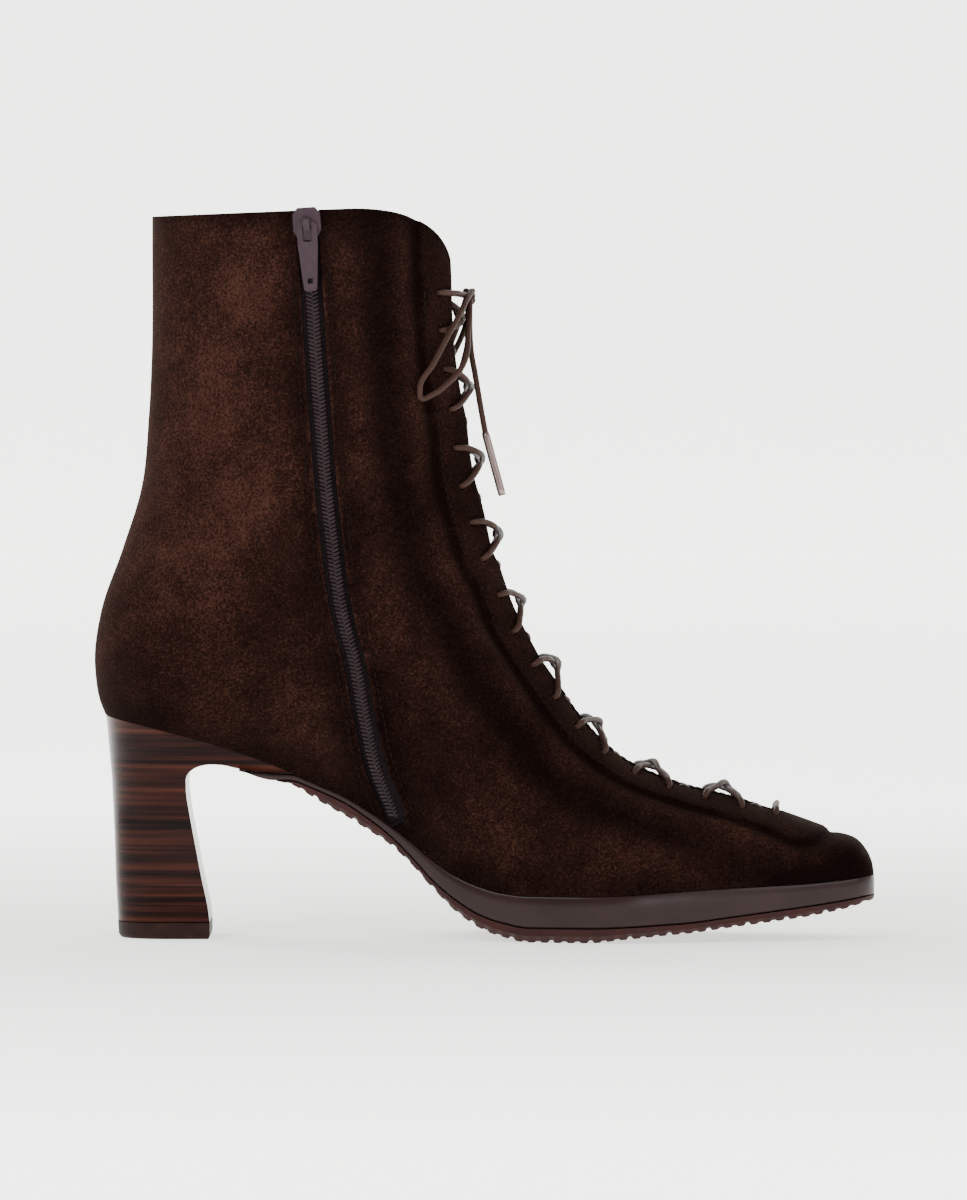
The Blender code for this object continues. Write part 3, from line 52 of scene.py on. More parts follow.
HEEL_HEIGHT = 0.0726
SHAFT_HEIGHT = 0.1613
TOE_SPRING = 0.0059
PLATFORM_THICKNESS = 0.0106
OUTSOLE_THICKNESS = 0.0048

# Roundings of the last
TOE_CORNER = 0.0075
TOE_EDGE = 0.0070
SEAT_SETBACK = 0.0037
SEAT_ROUND = 0.027

# The upper's wall and its openings
WALL = 0.0022
GAP = 0.0003
SOLE_GAP = 0.0006
STAY_STEP = 0.0006
STAY_WIDTH = 0.0150
STAY_BEYOND_THROAT = 0.014
THROAT_FROM_TOE = 0.0290
THROAT_TOE_WIDTH = 0.0170
THROAT_TOP_WIDTH = 0.0280
THROAT_CROWN = 0.0016
WING_DROP = 0.0220
WING_SHARE = 0.31
COLLAR_BACK_DROP = 0.0030

# Lacing
LACE = 0.0019
HOLE = 0.0030
HOLE_SETBACK = 0.0073
HOLE_PAIRS = 19
TOP_HOLE_DROP = 0.0276
BOTTOM_HOLE_RISE = 0.0030
CROSSING_SPREAD = 0.0007
OUTER_CROSSING_RISE = 0.0012

# Tongue
TONGUE = 0.0018
TONGUE_UNDERLAP = 0.0130
TONGUE_ABOVE_HOLES = 0.0160

# Heel and lift
LIFT = 0.0052
LIP_THICKNESS = 0.0057
HEEL_TOP_HALF = 0.0272

# Zip
ZIP_SLOT = 0.0072
ZIP_TAPE = 0.0011

# Derived sizes
BALL_STACK = PLATFORM_THICKNESS + OUTSOLE_THICKNESS
HEEL_RISE = HEEL_HEIGHT - BALL_STACK
BOOT_HEIGHT = HEEL_HEIGHT + SHAFT_HEIGHT
UPPER_HEIGHT = BOOT_HEIGHT - BALL_STACK
HALF_BALL = BALL_WIDTH / 2
HALF_SHAFT = SHAFT_WIDTH / 2
MEDIAL, LATERAL = -1, 1

# The feather line and the layers under it. along is a share of BOOT_LENGTH; heel and toe lift the line
# by shares of HEEL_RISE and TOE_SPRING; lip, platform and outsole are shares of those thicknesses.
SOLE_COLUMNS = ("along", "heel", "toe", "lip", "platform", "outsole")
SOLE_PROFILE = (
    (0.000, 1.000, 0.000, 1.00, 0.03, 0.00),
    (0.078, 0.923, 0.000, 1.00, 0.03, 0.00),
    (0.153, 0.837, 0.000, 1.00, 0.03, 0.00),
    (0.188, 0.788, 0.000, 1.00, 0.03, 0.00),
    (0.228, 0.724, 0.000, 0.58, 0.22, 0.02),
    (0.266, 0.650, 0.000, 0.00, 0.22, 0.42),
    (0.292, 0.601, 0.000, 0.00, 0.22, 0.70),
    (0.323, 0.540, 0.000, 0.00, 0.235, 0.86),
    (0.352, 0.465, 0.000, 0.00, 0.285, 0.79),
    (0.379, 0.390, 0.000, 0.00, 0.37, 0.62),
    (0.408, 0.288, 0.000, 0.00, 0.48, 0.52),
    (0.435, 0.189, 0.000, 0.00, 0.65, 0.54),
    (0.465, 0.101, 0.000, 0.00, 0.76, 0.78),
    (0.496, 0.044, 0.000, 0.00, 0.89, 0.90),
    (0.522, 0.014, 0.000, 0.00, 0.93, 0.96),
    (0.556, 0.000, 0.000, 0.00, 1.00, 1.00),
    (0.632, 0.000, 0.000, 0.00, 1.00, 1.00),
    (0.680, 0.000, 0.085, 0.00, 1.01, 0.84),
    (0.747, 0.000, 0.270, 0.00, 1.02, 0.72),
    (0.822, 0.000, 0.440, 0.00, 0.91, 0.70),
    (0.898, 0.000, 0.560, 0.00, 0.76, 0.70),
    (0.954, 0.000, 0.745, 0.00, 0.68, 0.60),
    (1.000, 0.000, 1.000, 0.00, 0.63, 0.34),
)

# The feather line in plan: how far it lies from the middle line, in shares of HALF_BALL
PLAN_COLUMNS = ("along", "medial", "lateral")
SOLE_PLAN = (
    (0.000, 0.600, 0.610),
    (0.100, 0.605, 0.635),
    (0.180, 0.565, 0.643),
    (0.260, 0.520, 0.655),
    (0.340, 0.520, 0.711),
    (0.420, 0.595, 0.813),
    (0.500, 0.763, 0.925),
    (0.552, 0.876, 0.984),
    (0.600, 0.955, 1.000),
    (0.640, 0.993, 0.977),
    (0.688, 1.000, 0.921),
    (0.748, 0.944, 0.817),
    (0.820, 0.846, 0.677),
    (0.900, 0.700, 0.508),
    (0.972, 0.553, 0.339),
    (1.000, 0.497, 0.271),
)

# Sections of the upper from the toe to the heel seat. Each runs in a plane from the ridge of the instep
# (top) down to the feather line (sole). top_x and sole_x are shares of BOOT_LENGTH, top_rise of
# UPPER_HEIGHT; medial, lateral and ridge are shares of HALF_BALL; wide_m and wide_l say how far up each
# side is widest; crown is the exponent of the arch above that, and flare that of the flank below it.
SECTION_COLUMNS = (
    "top_x", "top_rise", "foot_x", "foot_rise", "medial", "lateral",
    "wide_m", "wide_l", "crown", "flare", "ridge", "seam",
)
FOOT_SECTIONS = (
    (1.0000, 0.0426, 1.0000, 0.0, 0.497, 0.271, 0.03, 0.03, 2.70, 1.0, -0.113, 0.0),
    (0.9720, 0.0546, 0.9720, 0.0, 0.553, 0.339, 0.05, 0.05, 2.50, 1.0, -0.108, 0.0),
    (0.8960, 0.0920, 0.9020, 0.0, 0.700, 0.508, 0.05, 0.05, 2.20, 1.0, -0.095, 0.0),
    (0.8220, 0.1240, 0.8300, 0.0, 0.840, 0.671, 0.05, 0.05, 2.00, 1.0, -0.068, 0.0),
    (0.7480, 0.1501, 0.7590, 0.0, 0.938, 0.805, 0.05, 0.05, 1.80, 1.0, -0.052, 0.0),
    (0.6810, 0.1890, 0.6790, 0.0, 1.000, 0.925, 0.05, 0.05, 1.70, 1.0, -0.043, 0.0),
    (0.6300, 0.2490, 0.5900, 0.0, 0.945, 1.000, 0.10, 0.04, 1.60, 1.0, -0.036, 0.0),
    (0.5960, 0.3094, 0.5010, 0.0, 0.869, 0.935, 0.25, 0.10, 1.60, 1.0, -0.032, 0.0),
    (0.5644, 0.3698, 0.4210, 0.0, 0.858, 0.850, 0.32, 0.22, 1.70, 1.0, -0.027, 0.0),
    (0.5420, 0.4206, 0.3400, 0.0, 0.850, 0.795, 0.38, 0.34, 1.80, 1.0, -0.018, 0.0),
    (0.5276, 0.4783, 0.2340, 0.0, 0.835, 0.765, 0.42, 0.40, 1.90, 0.9, -0.007, 0.0),
    (0.5192, 0.5085, 0.1180, 0.0, 0.820, 0.752, 0.44, 0.43, 1.95, 0.7, 0.000, 0.0),
    (0.5100, 0.5739, 0.0148, 0.0, 0.790, 0.729, 0.45, 0.45, 2.00, 0.5, 0.011, 0.0),
)

# Sections from above the heel seat to the collar. Each runs from the front ridge to the back seam, whose
# place is foot_x and foot_rise; medial, lateral, ridge and seam are shares of HALF_SHAFT.
SHAFT_SECTIONS = (
    (0.5016, 0.6096, 0.0008, 0.3291, 1.021, 0.955, 0.46, 0.46, 2.0, 0.5, 0.027, 0.000),
    (0.4952, 0.6481, 0.0088, 0.4069, 1.015, 0.967, 0.47, 0.47, 2.0, 0.5, 0.039, 0.000),
    (0.4900, 0.6943, 0.0376, 0.5025, 1.012, 0.985, 0.48, 0.48, 2.0, 0.5, 0.054, 0.003),
    (0.4840, 0.7213, 0.0608, 0.5881, 1.009, 0.994, 0.49, 0.49, 2.0, 0.5, 0.066, 0.009),
    (0.4784, 0.7556, 0.0704, 0.6961, 1.000, 1.003, 0.50, 0.50, 2.0, 0.5, 0.078, 0.018),
    (0.4732, 0.8146, 0.0748, 0.8247, 0.973, 1.027, 0.50, 0.50, 2.0, 0.5, 0.093, 0.036),
    (0.4724, 0.9085, 0.0748, 0.9368, 0.937, 1.080, 0.50, 0.50, 2.0, 0.5, 0.107, 0.078),
    (0.4728, 1.0150, 0.0748, 1.0150, 0.916, 1.107, 0.50, 0.50, 2.0, 0.5, 0.116, 0.090),
)

# The heel's outline from the side: its back edge and its breast, in shares of BOOT_LENGTH and HEEL_HEIGHT
HEEL_BACK = ((0.0310, 0.000), (0.0310, 0.092), (0.0280, 0.270), (0.0264, 0.467), (0.0224, 0.725))
HEEL_BREAST = (
    (0.1500, 0.072), (0.1480, 0.129), (0.1388, 0.282), (0.1312, 0.423), (0.1236, 0.567),
    (0.1200, 0.670), (0.1216, 0.725), (0.1312, 0.755), (0.1460, 0.771), (0.1680, 0.770),
)
# Half widths of the heel, in shares of HEEL_TOP_HALF, at shares of HEEL_HEIGHT
HEEL_WIDTHS = ((0.00, 0.700), (0.25, 0.680), (0.50, 0.700), (0.68, 0.800), (0.80, 0.950), (0.92, 1.0))

# The zip's middle line on the medial side: shares of BOOT_LENGTH along and, up, of the way from the
# feather line to the collar
ZIP_LINE = (
    (0.3880, 0.019), (0.3672, 0.067), (0.3492, 0.151), (0.3352, 0.240), (0.3228, 0.294),
    (0.3056, 0.439), (0.2924, 0.639), (0.2752, 0.987),
)

# Routes of the bow, in metres from the back of the heel, the middle line and the floor
KNOT = (0.1204, 0.0030, 0.2056)
KNOT_SIZE = (0.0042, 0.0064, 0.0060)
MEDIAL_LOOP = (
    (0.1207, -0.0016, 0.2042), (0.1205, -0.0058, 0.1990), (0.1200, -0.0096, 0.1927),
    (0.1199, -0.0130, 0.1885), (0.1185, -0.0172, 0.1835), (0.1145, -0.0212, 0.1785),
    (0.1090, -0.0242, 0.1742), (0.1052, -0.0256, 0.1728), (0.1048, -0.0266, 0.1766),
    (0.1090, -0.0245, 0.1838), (0.1130, -0.0205, 0.1915), (0.1174, -0.0132, 0.1996),
    (0.1199, -0.0066, 0.2048), (0.1212, -0.0021, 0.2069),
)
LATERAL_LOOP = (
    (0.1200, 0.0077, 0.2069), (0.1186, 0.0150, 0.2022), (0.1160, 0.0225, 0.1941),
    (0.1118, 0.0300, 0.1848), (0.1082, 0.0345, 0.1778), (0.1062, 0.0354, 0.1738),
    (0.1066, 0.0328, 0.1738), (0.1110, 0.0270, 0.1800), (0.1158, 0.0205, 0.1880),
    (0.1192, 0.0140, 0.1960), (0.1205, 0.0080, 0.2040),
)
MEDIAL_END = (
    (0.1206, 0.0017, 0.2024), (0.1206, -0.0004, 0.1950), (0.1210, -0.0030, 0.1880),
    (0.1224, -0.0054, 0.1800), (0.1240, -0.0076, 0.1705), (0.1256, -0.0092, 0.1616),
)
MEDIAL_AGLET = ((0.12572, -0.00932, 0.16118), (0.1310, -0.0116, 0.1418))
LATERAL_END = (
    (0.1206, 0.0043, 0.2024), (0.1204, 0.0090, 0.1958), (0.1196, 0.0150, 0.1888),
    (0.1174, 0.0212, 0.1812), (0.1142, 0.0262, 0.1750),
)
LATERAL_AGLET = ((0.11398, 0.02648, 0.17462), (0.1060, 0.0348, 0.1580))
AGLET = 0.0025


def curve_through(knots, values, at, flat=False):
    """Cubic through a table's rows. With flat, it keeps level between equal rows and never overshoots."""
    knots, values, at = (np.asarray(item, float) for item in (knots, values, at))
    spans = np.diff(knots)
    rises = np.diff(values) / spans
    slopes = np.empty_like(values)
    weighted = (spans[1:] * rises[:-1] + spans[:-1] * rises[1:]) / (spans[1:] + spans[:-1])
    if flat:
        same_way = rises[:-1] * rises[1:] > 0
        safe = np.where(same_way, rises[:-1] + rises[1:], 1.0)
        weighted = np.where(same_way, 2 * rises[:-1] * rises[1:] / safe, 0.0)
    slopes[1:-1] = weighted
    slopes[0], slopes[-1] = rises[0], rises[-1]
    row = np.clip(np.searchsorted(knots, at, side="right") - 1, 0, len(spans) - 1)
    share = np.clip((at - knots[row]) / spans[row], 0.0, 1.0)
    rest = 1 - share
    return (
        values[row] * (1 + 2 * share) * rest**2
        + slopes[row] * spans[row] * share * rest**2
        + values[row + 1] * (3 - 2 * share) * share**2
        - slopes[row + 1] * spans[row] * rest * share**2
    )


def column(table, names, name):
    return np.array([row[names.index(name)] for row in table])


def lengths_along(points):
    """Distance of each point from the first, along their line."""
    return np.concatenate([[0.0], np.cumsum(np.linalg.norm(np.diff(points, axis=0), axis=1))])


def rounding(depth, radius):
    """How far a round corner of this radius falls back, at a depth from its front."""
    inside = np.clip(radius - np.asarray(depth, float), 0.0, radius)
    return radius - np.sqrt(radius**2 - inside**2)


def sole_value(name, x):
    knots = column(SOLE_PROFILE, SOLE_COLUMNS, "along")
    values = column(SOLE_PROFILE, SOLE_COLUMNS, name)
    return curve_through(knots, values, np.asarray(x, float) / BOOT_LENGTH, flat=True)


def feather_height(x):
    return BALL_STACK + HEEL_RISE * sole_value("heel", x) + TOE_SPRING * sole_value("toe", x)


def platform_thickness(x):
    return PLATFORM_THICKNESS * sole_value("platform", x)


def platform_top(x):
    return feather_height(x) - LIP_THICKNESS * sole_value("lip", x) - SOLE_GAP


def platform_bottom(x):
    return feather_height(x) - LIP_THICKNESS * sole_value("lip", x) - platform_thickness(x)


def outsole_bottom(x):
    return platform_bottom(x) - OUTSOLE_THICKNESS * sole_value("outsole", x)


def feather_side(x, side):
    """Distance of the feather line from the middle line, with the toe's corners and the round seat."""
    x = np.asarray(x, float)
    name = "medial" if side == MEDIAL else "lateral"
    knots = column(SOLE_PLAN, PLAN_COLUMNS, "along")
    wide = HALF_BALL * curve_through(knots, column(SOLE_PLAN, PLAN_COLUMNS, name), x / BOOT_LENGTH)
    wide = wide - rounding(BOOT_LENGTH - x, TOE_CORNER)
    return wide * round_back(x - SEAT_SETBACK)


def round_back(depth):
    """Share of the full width at a depth from the back of the heel, round in plan."""
    into = np.clip(depth / SEAT_ROUND, 0.0, 1.0)
    return np.sqrt(1 - (1 - into) ** 2)


def section_table():
    """The section rows in metres, with their distance along the boot as the last column."""
    rows = []
    for row in FOOT_SECTIONS:
        values = dict(zip(SECTION_COLUMNS, row))
        foot_x = values["foot_x"] * BOOT_LENGTH
        top_x = values["top_x"] * BOOT_LENGTH
        lift = BALL_STACK + TOE_SPRING * float(sole_value("toe", top_x))
        rows.append([
            top_x, lift + values["top_rise"] * UPPER_HEIGHT, foot_x, float(feather_height(foot_x)),
            values["medial"] * HALF_BALL, values["lateral"] * HALF_BALL, values["wide_m"],
            values["wide_l"], values["crown"], values["flare"], values["ridge"] * HALF_BALL, 0.0,
        ])
    for row in SHAFT_SECTIONS:
        values = dict(zip(SECTION_COLUMNS, row))
        rows.append([
            values["top_x"] * BOOT_LENGTH, BALL_STACK + values["top_rise"] * UPPER_HEIGHT,
            values["foot_x"] * BOOT_LENGTH, BALL_STACK + values["foot_rise"] * UPPER_HEIGHT,
            values["medial"] * HALF_SHAFT, values["lateral"] * HALF_SHAFT, values["wide_m"],
            values["wide_l"], values["crown"], values["flare"], values["ridge"] * HALF_SHAFT,
            values["seam"] * HALF_SHAFT,
        ])
    rows = np.array(rows)
    steps = np.hypot(*np.diff(rows[:, 0:2], axis=0).T) + np.hypot(*np.diff(rows[:, 2:4], axis=0).T)
    return rows, np.concatenate([[0.0], np.cumsum(steps / 2)])


SECTIONS, STATIONS = section_table()
SEAT_STATION = STATIONS[len(FOOT_SECTIONS) - 1]
SAMPLES = 180
HEEL_FLARE = 0.8
ARCH_POWER = 2.1
HEEL_COUNTER_LENGTH = 0.024


def section_values(station):
    values = [curve_through(STATIONS, SECTIONS[:, i], station) for i in range(SECTIONS.shape[1])]
    return dict(zip(SECTION_COLUMNS, (float(value) for value in values)))


def back_x(z):
    """Where the back seam lies at a height."""
    rows = SECTIONS[len(FOOT_SECTIONS) - 1 :]
    return curve_through(rows[:, 3], rows[:, 2], z)


def heel_counter(xz, foot, wide, reach, lower):
    """Distances of a flank from the middle line around the heel, as if each level were round in plan."""
    level = wide + (reach - wide) * (1 - lower**2) ** HEEL_FLARE
    depth = xz[:, 0] - back_x(np.maximum(xz[:, 1], SECTIONS[len(FOOT_SECTIONS) - 1, 3]))
    if foot is not None:
        depth = depth - foot[0] + back_x(foot[1])
    return level * round_back(depth)


def section_line(station, side):
    """The outer line of one section, from the ridge down to the feather line or the back seam."""
    row = section_values(station)
    from_toe = BOOT_LENGTH - row["top_x"]
    top = np.array([row["top_x"], row["top_rise"] - rounding(from_toe, TOE_EDGE)])
    foot = np.array([row["foot_x"], row["foot_rise"]])
    widest = row["wide_m"] if side == MEDIAL else row["wide_l"]
    reach = row["medial"] if side == MEDIAL else row["lateral"]
    reach -= rounding(BOOT_LENGTH - row["foot_x"], TOE_CORNER)
    start = side * row["seam"]
    if station <= SEAT_STATION:
        foot[1] = feather_height(foot[0])
        start = float(feather_side(foot[0], side))
        reach = max(reach, start)
    seat = max(foot[0], SEAT_SETBACK + SEAT_ROUND) if station <= SEAT_STATION else SEAT_SETBACK + SEAT_ROUND
    full = max(start, float(feather_side(seat, side)))
    above = np.clip((station - SEAT_STATION) / (STATIONS[len(FOOT_SECTIONS) + 2] - SEAT_STATION), 0.0, 1.0)
    near_heel = 1.0 - above * above * (3 - 2 * above)
    if foot[0] > SEAT_SETBACK + HEEL_COUNTER_LENGTH:
        near_heel = 0.0
    turn = np.linspace(0, math.pi / 2, SAMPLES)
    upper, lower = np.sin(turn)[::-1], np.sin(turn)
    ridge = side * row["ridge"]
    arch = ridge + (reach - ridge) * (1 - upper ** row["crown"]) ** (1 / ARCH_POWER)
    flank = start + (reach - start) * (1 - lower**2) ** row["flare"]
    share = np.concatenate([widest + (1 - widest) * upper, widest * (1 - lower[1:])])
    xz = foot + share[:, None] * (top - foot)
    if near_heel > 0.0:
        own = None if station <= SEAT_STATION else foot
        counter = heel_counter(xz[SAMPLES - 1 :], own, full, reach, lower)
        flank = near_heel * counter + (1 - near_heel) * flank
        flank[0] = reach
    y = side * np.concatenate([arch, flank[1:]])
    return np.column_stack([xz[:, 0], y, xz[:, 1]])


def throat_station():
    ridge = SECTIONS[: len(FOOT_SECTIONS), 0]
    return float(np.interp(THROAT_FROM_TOE - BOOT_LENGTH, -ridge, STATIONS[: len(FOOT_SECTIONS)]))


THROAT_STATION = throat_station()
THROAT_ROUND = THROAT_TOE_WIDTH / 2


def throat_half(station):
    """Half of the gap between the facings, round at its toe end."""
    into = station - THROAT_STATION
    if into <= 0:
        return 0.0
    share = into / (STATIONS[-1] - THROAT_STATION)
    half = (THROAT_TOE_WIDTH + (THROAT_TOP_WIDTH - THROAT_TOE_WIDTH) * share**1.3) / 2
    return half - rounding(into, THROAT_ROUND) * half / THROAT_ROUND


def measured_line(station, side):
    """The section's line with its length from the throat's edge, which is negative on the ridge side."""
    line = section_line(station, side)
    length = lengths_along(line)
    across = np.abs(line[:, 1] - line[0, 1])
    rising = np.maximum.accumulate(across[: SAMPLES])
    edge = np.interp(throat_half(station), rising, length[:SAMPLES])
    return line, length - edge


def stay_half_length(station):
    """Width of the eyestay from the throat's edge, or from the ridge beyond the throat's toe end."""
    before = THROAT_STATION - station
    if before <= 0:
        return STAY_WIDTH
    whole = STAY_WIDTH + THROAT_ROUND
    grown = min(before / STAY_BEYOND_THROAT, 1.0)
    return whole * math.sqrt(max(1 - grown**2, 0.0))


def on_upper(station, side, distance, lift=0.0):
    """A point of the upper's face, at a distance from the throat's edge, lifted along the normal."""
    def spot(at_station, at_distance):
        line, length = measured_line(at_station, side)
        return np.array([np.interp(at_distance, length, line[:, axis]) for axis in range(3)])

    point = spot(station, distance)
    if lift == 0.0:
        return point
    step = 0.0008
    along = spot(station + step, distance) - spot(station - step, distance)
    down = spot(station, distance + step) - spot(station, distance - step)
    normal = np.cross(down, along) * side
    return point + lift * normal / np.linalg.norm(normal)


def on_throat(station, share, lift=0.0):
    """A point between the throat's edges: share is 0 at the medial edge and 1 at the lateral one."""
    edges = [on_upper(station, side, 0.0) for side in (MEDIAL, LATERAL)]
    outer = [on_upper(station, side, 0.0, 1.0) - edge for side, edge in zip((MEDIAL, LATERAL), edges)]
    normal = (1 - share) * outer[0] + share * outer[1]
    normal /= np.linalg.norm(normal)
    rise = THROAT_CROWN * 4 * share * (1 - share)
    return (1 - share) * edges[0] + share * edges[1] + (rise + lift) * normal


def heel_half(z):
    shares, halves = zip(*HEEL_WIDTHS)
    return HEEL_TOP_HALF * float(curve_through(shares, halves, z / HEEL_HEIGHT, flat=True))


def heel_back(z):
    places = sorted((share, x) for x, share in HEEL_BACK[1:]) + [(1.0, SEAT_SETBACK / BOOT_LENGTH)]
    return BOOT_LENGTH * float(np.interp(z / HEEL_HEIGHT, [p[0] for p in places], [p[1] for p in places]))


HEEL_CORNER = 0.0140
SEAT_CORNER = 0.0262
LIP_PLACES = (0.258, 0.228, 0.192)

# The share of the heel's height where its back starts to widen and the share over which it does, how
# high its blank stands, and the places along the boot of the blank's front and of the heel's middle
WIDENS_FROM = 0.5
WIDENS_OVER = 0.42
HEEL_BLANK_TOP = 1.03
HEEL_BLANK_END = 0.30
HEEL_MIDDLE_PLACE = 0.20

TONGUE_DEPTH = WALL - STAY_STEP + LACE + CROSSING_SPREAD + 4 * GAP
TONGUE_START = 0.0016


def hole_stations():
    """Stations of the lace holes, evenly spaced along the throat's edge, from the toe up."""
    tries = np.linspace(THROAT_STATION + BOTTOM_HOLE_RISE, STATIONS[-1], 120)
    edge = np.array([on_upper(t, MEDIAL, 0.0) for t in tries])
    length = lengths_along(edge)
    top = np.interp(BOOT_HEIGHT - TOP_HOLE_DROP, edge[:, 2], length)
    return [float(np.interp(share * top, length, tries)) for share in np.linspace(0, 1, HOLE_PAIRS)]


PLATFORM_SLANT = 0.0016
PLATFORM_START = 0.188
OUTSOLE_START = 0.236
OUTSOLE_BEVEL = 0.0028
GROOVE_PITCH = 0.0125
GROOVE_WIDTH = 0.0020
GROOVE_DEPTH = 0.0009
GROOVE_FLANK = 0.0005


def platform_slant(x):
    return PLATFORM_SLANT * float(platform_top(x) - platform_bottom(x)) / PLATFORM_THICKNESS


# The zip: its recess below the upper's face, its steps, the share of the way up to the collar where its
# tape ends, and the turns of its round foot
ZIP_RECESS = 0.0013
ZIP_STEPS = 120
ZIP_TOP = 0.974
ZIP_END_TURNS = (-60, -20, 20, 60)


def zip_middle(rise):
    """Middle of the zip in the side view, as (x, z), at a share of the way up to the collar."""
    shares = [row[1] for row in ZIP_LINE]
    x = BOOT_LENGTH * float(curve_through(shares, [row[0] for row in ZIP_LINE], rise))
    foot = float(feather_height(x))
    return np.array([x, foot + rise * (BOOT_HEIGHT - foot)])


def zip_across(rise):
    """Unit vector across the zip in the side view, towards the toe."""
    step = 0.01
    along = zip_middle(min(rise + step, ZIP_LINE[-1][1])) - zip_middle(max(rise - step, ZIP_LINE[0][1]))
    along /= np.linalg.norm(along)
    return np.array([along[1], -along[0]])


def zip_outline(half, top):
    """The slot seen from the side: up one edge, down the other, and round below."""
    rises = np.linspace(ZIP_LINE[0][1], ZIP_TOP, ZIP_STEPS)
    front = [zip_middle(r) + half * zip_across(r) for r in rises]
    back = [zip_middle(r) - half * zip_across(r) for r in rises]
    if top:
        front.append(front[-1] + (0.0, top))
        back.append(back[-1] + (0.0, top))
    foot, across = zip_middle(rises[0]), zip_across(rises[0])
    down = np.array([across[1], -across[0]])
    end = [
        foot + half * (math.sin(math.radians(t)) * across + math.cos(math.radians(t)) * down)
        for t in ZIP_END_TURNS
    ]
    return front + back[::-1] + end


SHIFT = np.array([-BOOT_LENGTH / 2, 0.0, 0.0])
ROOT_BODY = "boot"


def moved(points):
    """From the last's own origin to the frame's."""
    return np.asarray(points, float) + SHIFT


def link(name, data, body=ROOT_BODY):
    obj = bpy.data.objects.new(name, data)
    bpy.context.scene.collection.objects.link(obj)
    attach(obj, body)
    return obj


def plain_mesh(name, points, faces):
    data = bpy.data.meshes.new(name)
    data.from_pydata([tuple(float(c) for c in p) for p in points], [], faces)
    data.update()
    return data


def tidy_mesh(data, merge=1e-6):
    shape = bmesh.new()
    shape.from_mesh(data)
    bmesh.ops.remove_doubles(shape, verts=shape.verts, dist=merge)
    bmesh.ops.recalc_face_normals(shape, faces=shape.faces)
    shape.to_mesh(data)
    shape.free()


def outward(data):
    shape = bmesh.new()
    shape.from_mesh(data)
    bmesh.ops.recalc_face_normals(shape, faces=shape.faces)
    if shape.calc_volume(signed=True) < 0:
        bmesh.ops.reverse_faces(shape, faces=shape.faces)
    shape.to_mesh(data)
    shape.free()


def smooth(data, degrees=40.0):
    data.shade_smooth()
    data.set_sharp_from_angle(angle=math.radians(degrees))


def applied(obj):
    """The object with its modifiers' result as its mesh."""
    graph = bpy.context.evaluated_depsgraph_get()
    data = bpy.data.meshes.new_from_object(obj.evaluated_get(graph))
    old = obj.data
    obj.modifiers.clear()
    obj.data = data
    bpy.data.meshes.remove(old)
    return obj


def scratch_object(name, data):
    obj = bpy.data.objects.new(name, data)
    bpy.context.scene.collection.objects.link(obj)
    return obj


def boolean(obj, cutter, operation="DIFFERENCE", solver="EXACT"):
    modifier = obj.modifiers.new(cutter.name, "BOOLEAN")
    modifier.operation = operation
    modifier.object = cutter
    modifier.solver = solver


def grid_faces(rows, columns, closed=False):
    faces = []
    for i in range(rows - 1):
        for j in range(columns if closed else columns - 1):
            k = (j + 1) % columns
            faces.append((i * columns + j, (i + 1) * columns + j, (i + 1) * columns + k, i * columns + k))
    return faces


def lofted(name, rings):
    count = len(rings[0])
    faces = grid_faces(len(rings), count, closed=True)
    faces.append(tuple(range(count)))
    faces.append(tuple(range((len(rings) - 1) * count, len(rings) * count))[::-1])
    data = plain_mesh(name, moved([p for ring in rings for p in ring]), faces)
    tidy_mesh(data)
    outward(data)
    return data


def side_cutter(name, outline, near, far, surface):
    """A cutter with this outline in the side view, between two distances across."""
    count = len(outline)
    points = [(x, y, z) for y in (near, far) for x, z in outline]
    faces = [tuple(range(count)), tuple(range(2 * count - 1, count - 1, -1))]
    faces += [(i, (i + 1) % count, (i + 1) % count + count, i + count) for i in range(count)]
    data = plain_mesh(name, moved(points), faces)
    tidy_mesh(data)
    outward(data)
    data.materials.append(surface)
    return scratch_object(name, data)


def walled(obj, thickness, quality=False):
    """The sheet gets its thickness on its inner side, with the second material there."""
    shell = obj.modifiers.new("wall", "SOLIDIFY")
    shell.thickness = thickness
    shell.offset = -1.0
    shell.use_quality_normals = quality
    shell.material_offset = 1
    shell.material_offset_rim = 0


def eased(obj, width, degrees):
    """Edges sharper than the angle are bevelled."""
    bevel = obj.modifiers.new("edges", "BEVEL")
    bevel.width = width
    bevel.segments = 2
    bevel.limit_method = "ANGLE"
    bevel.angle_limit = math.radians(degrees)


# Materials


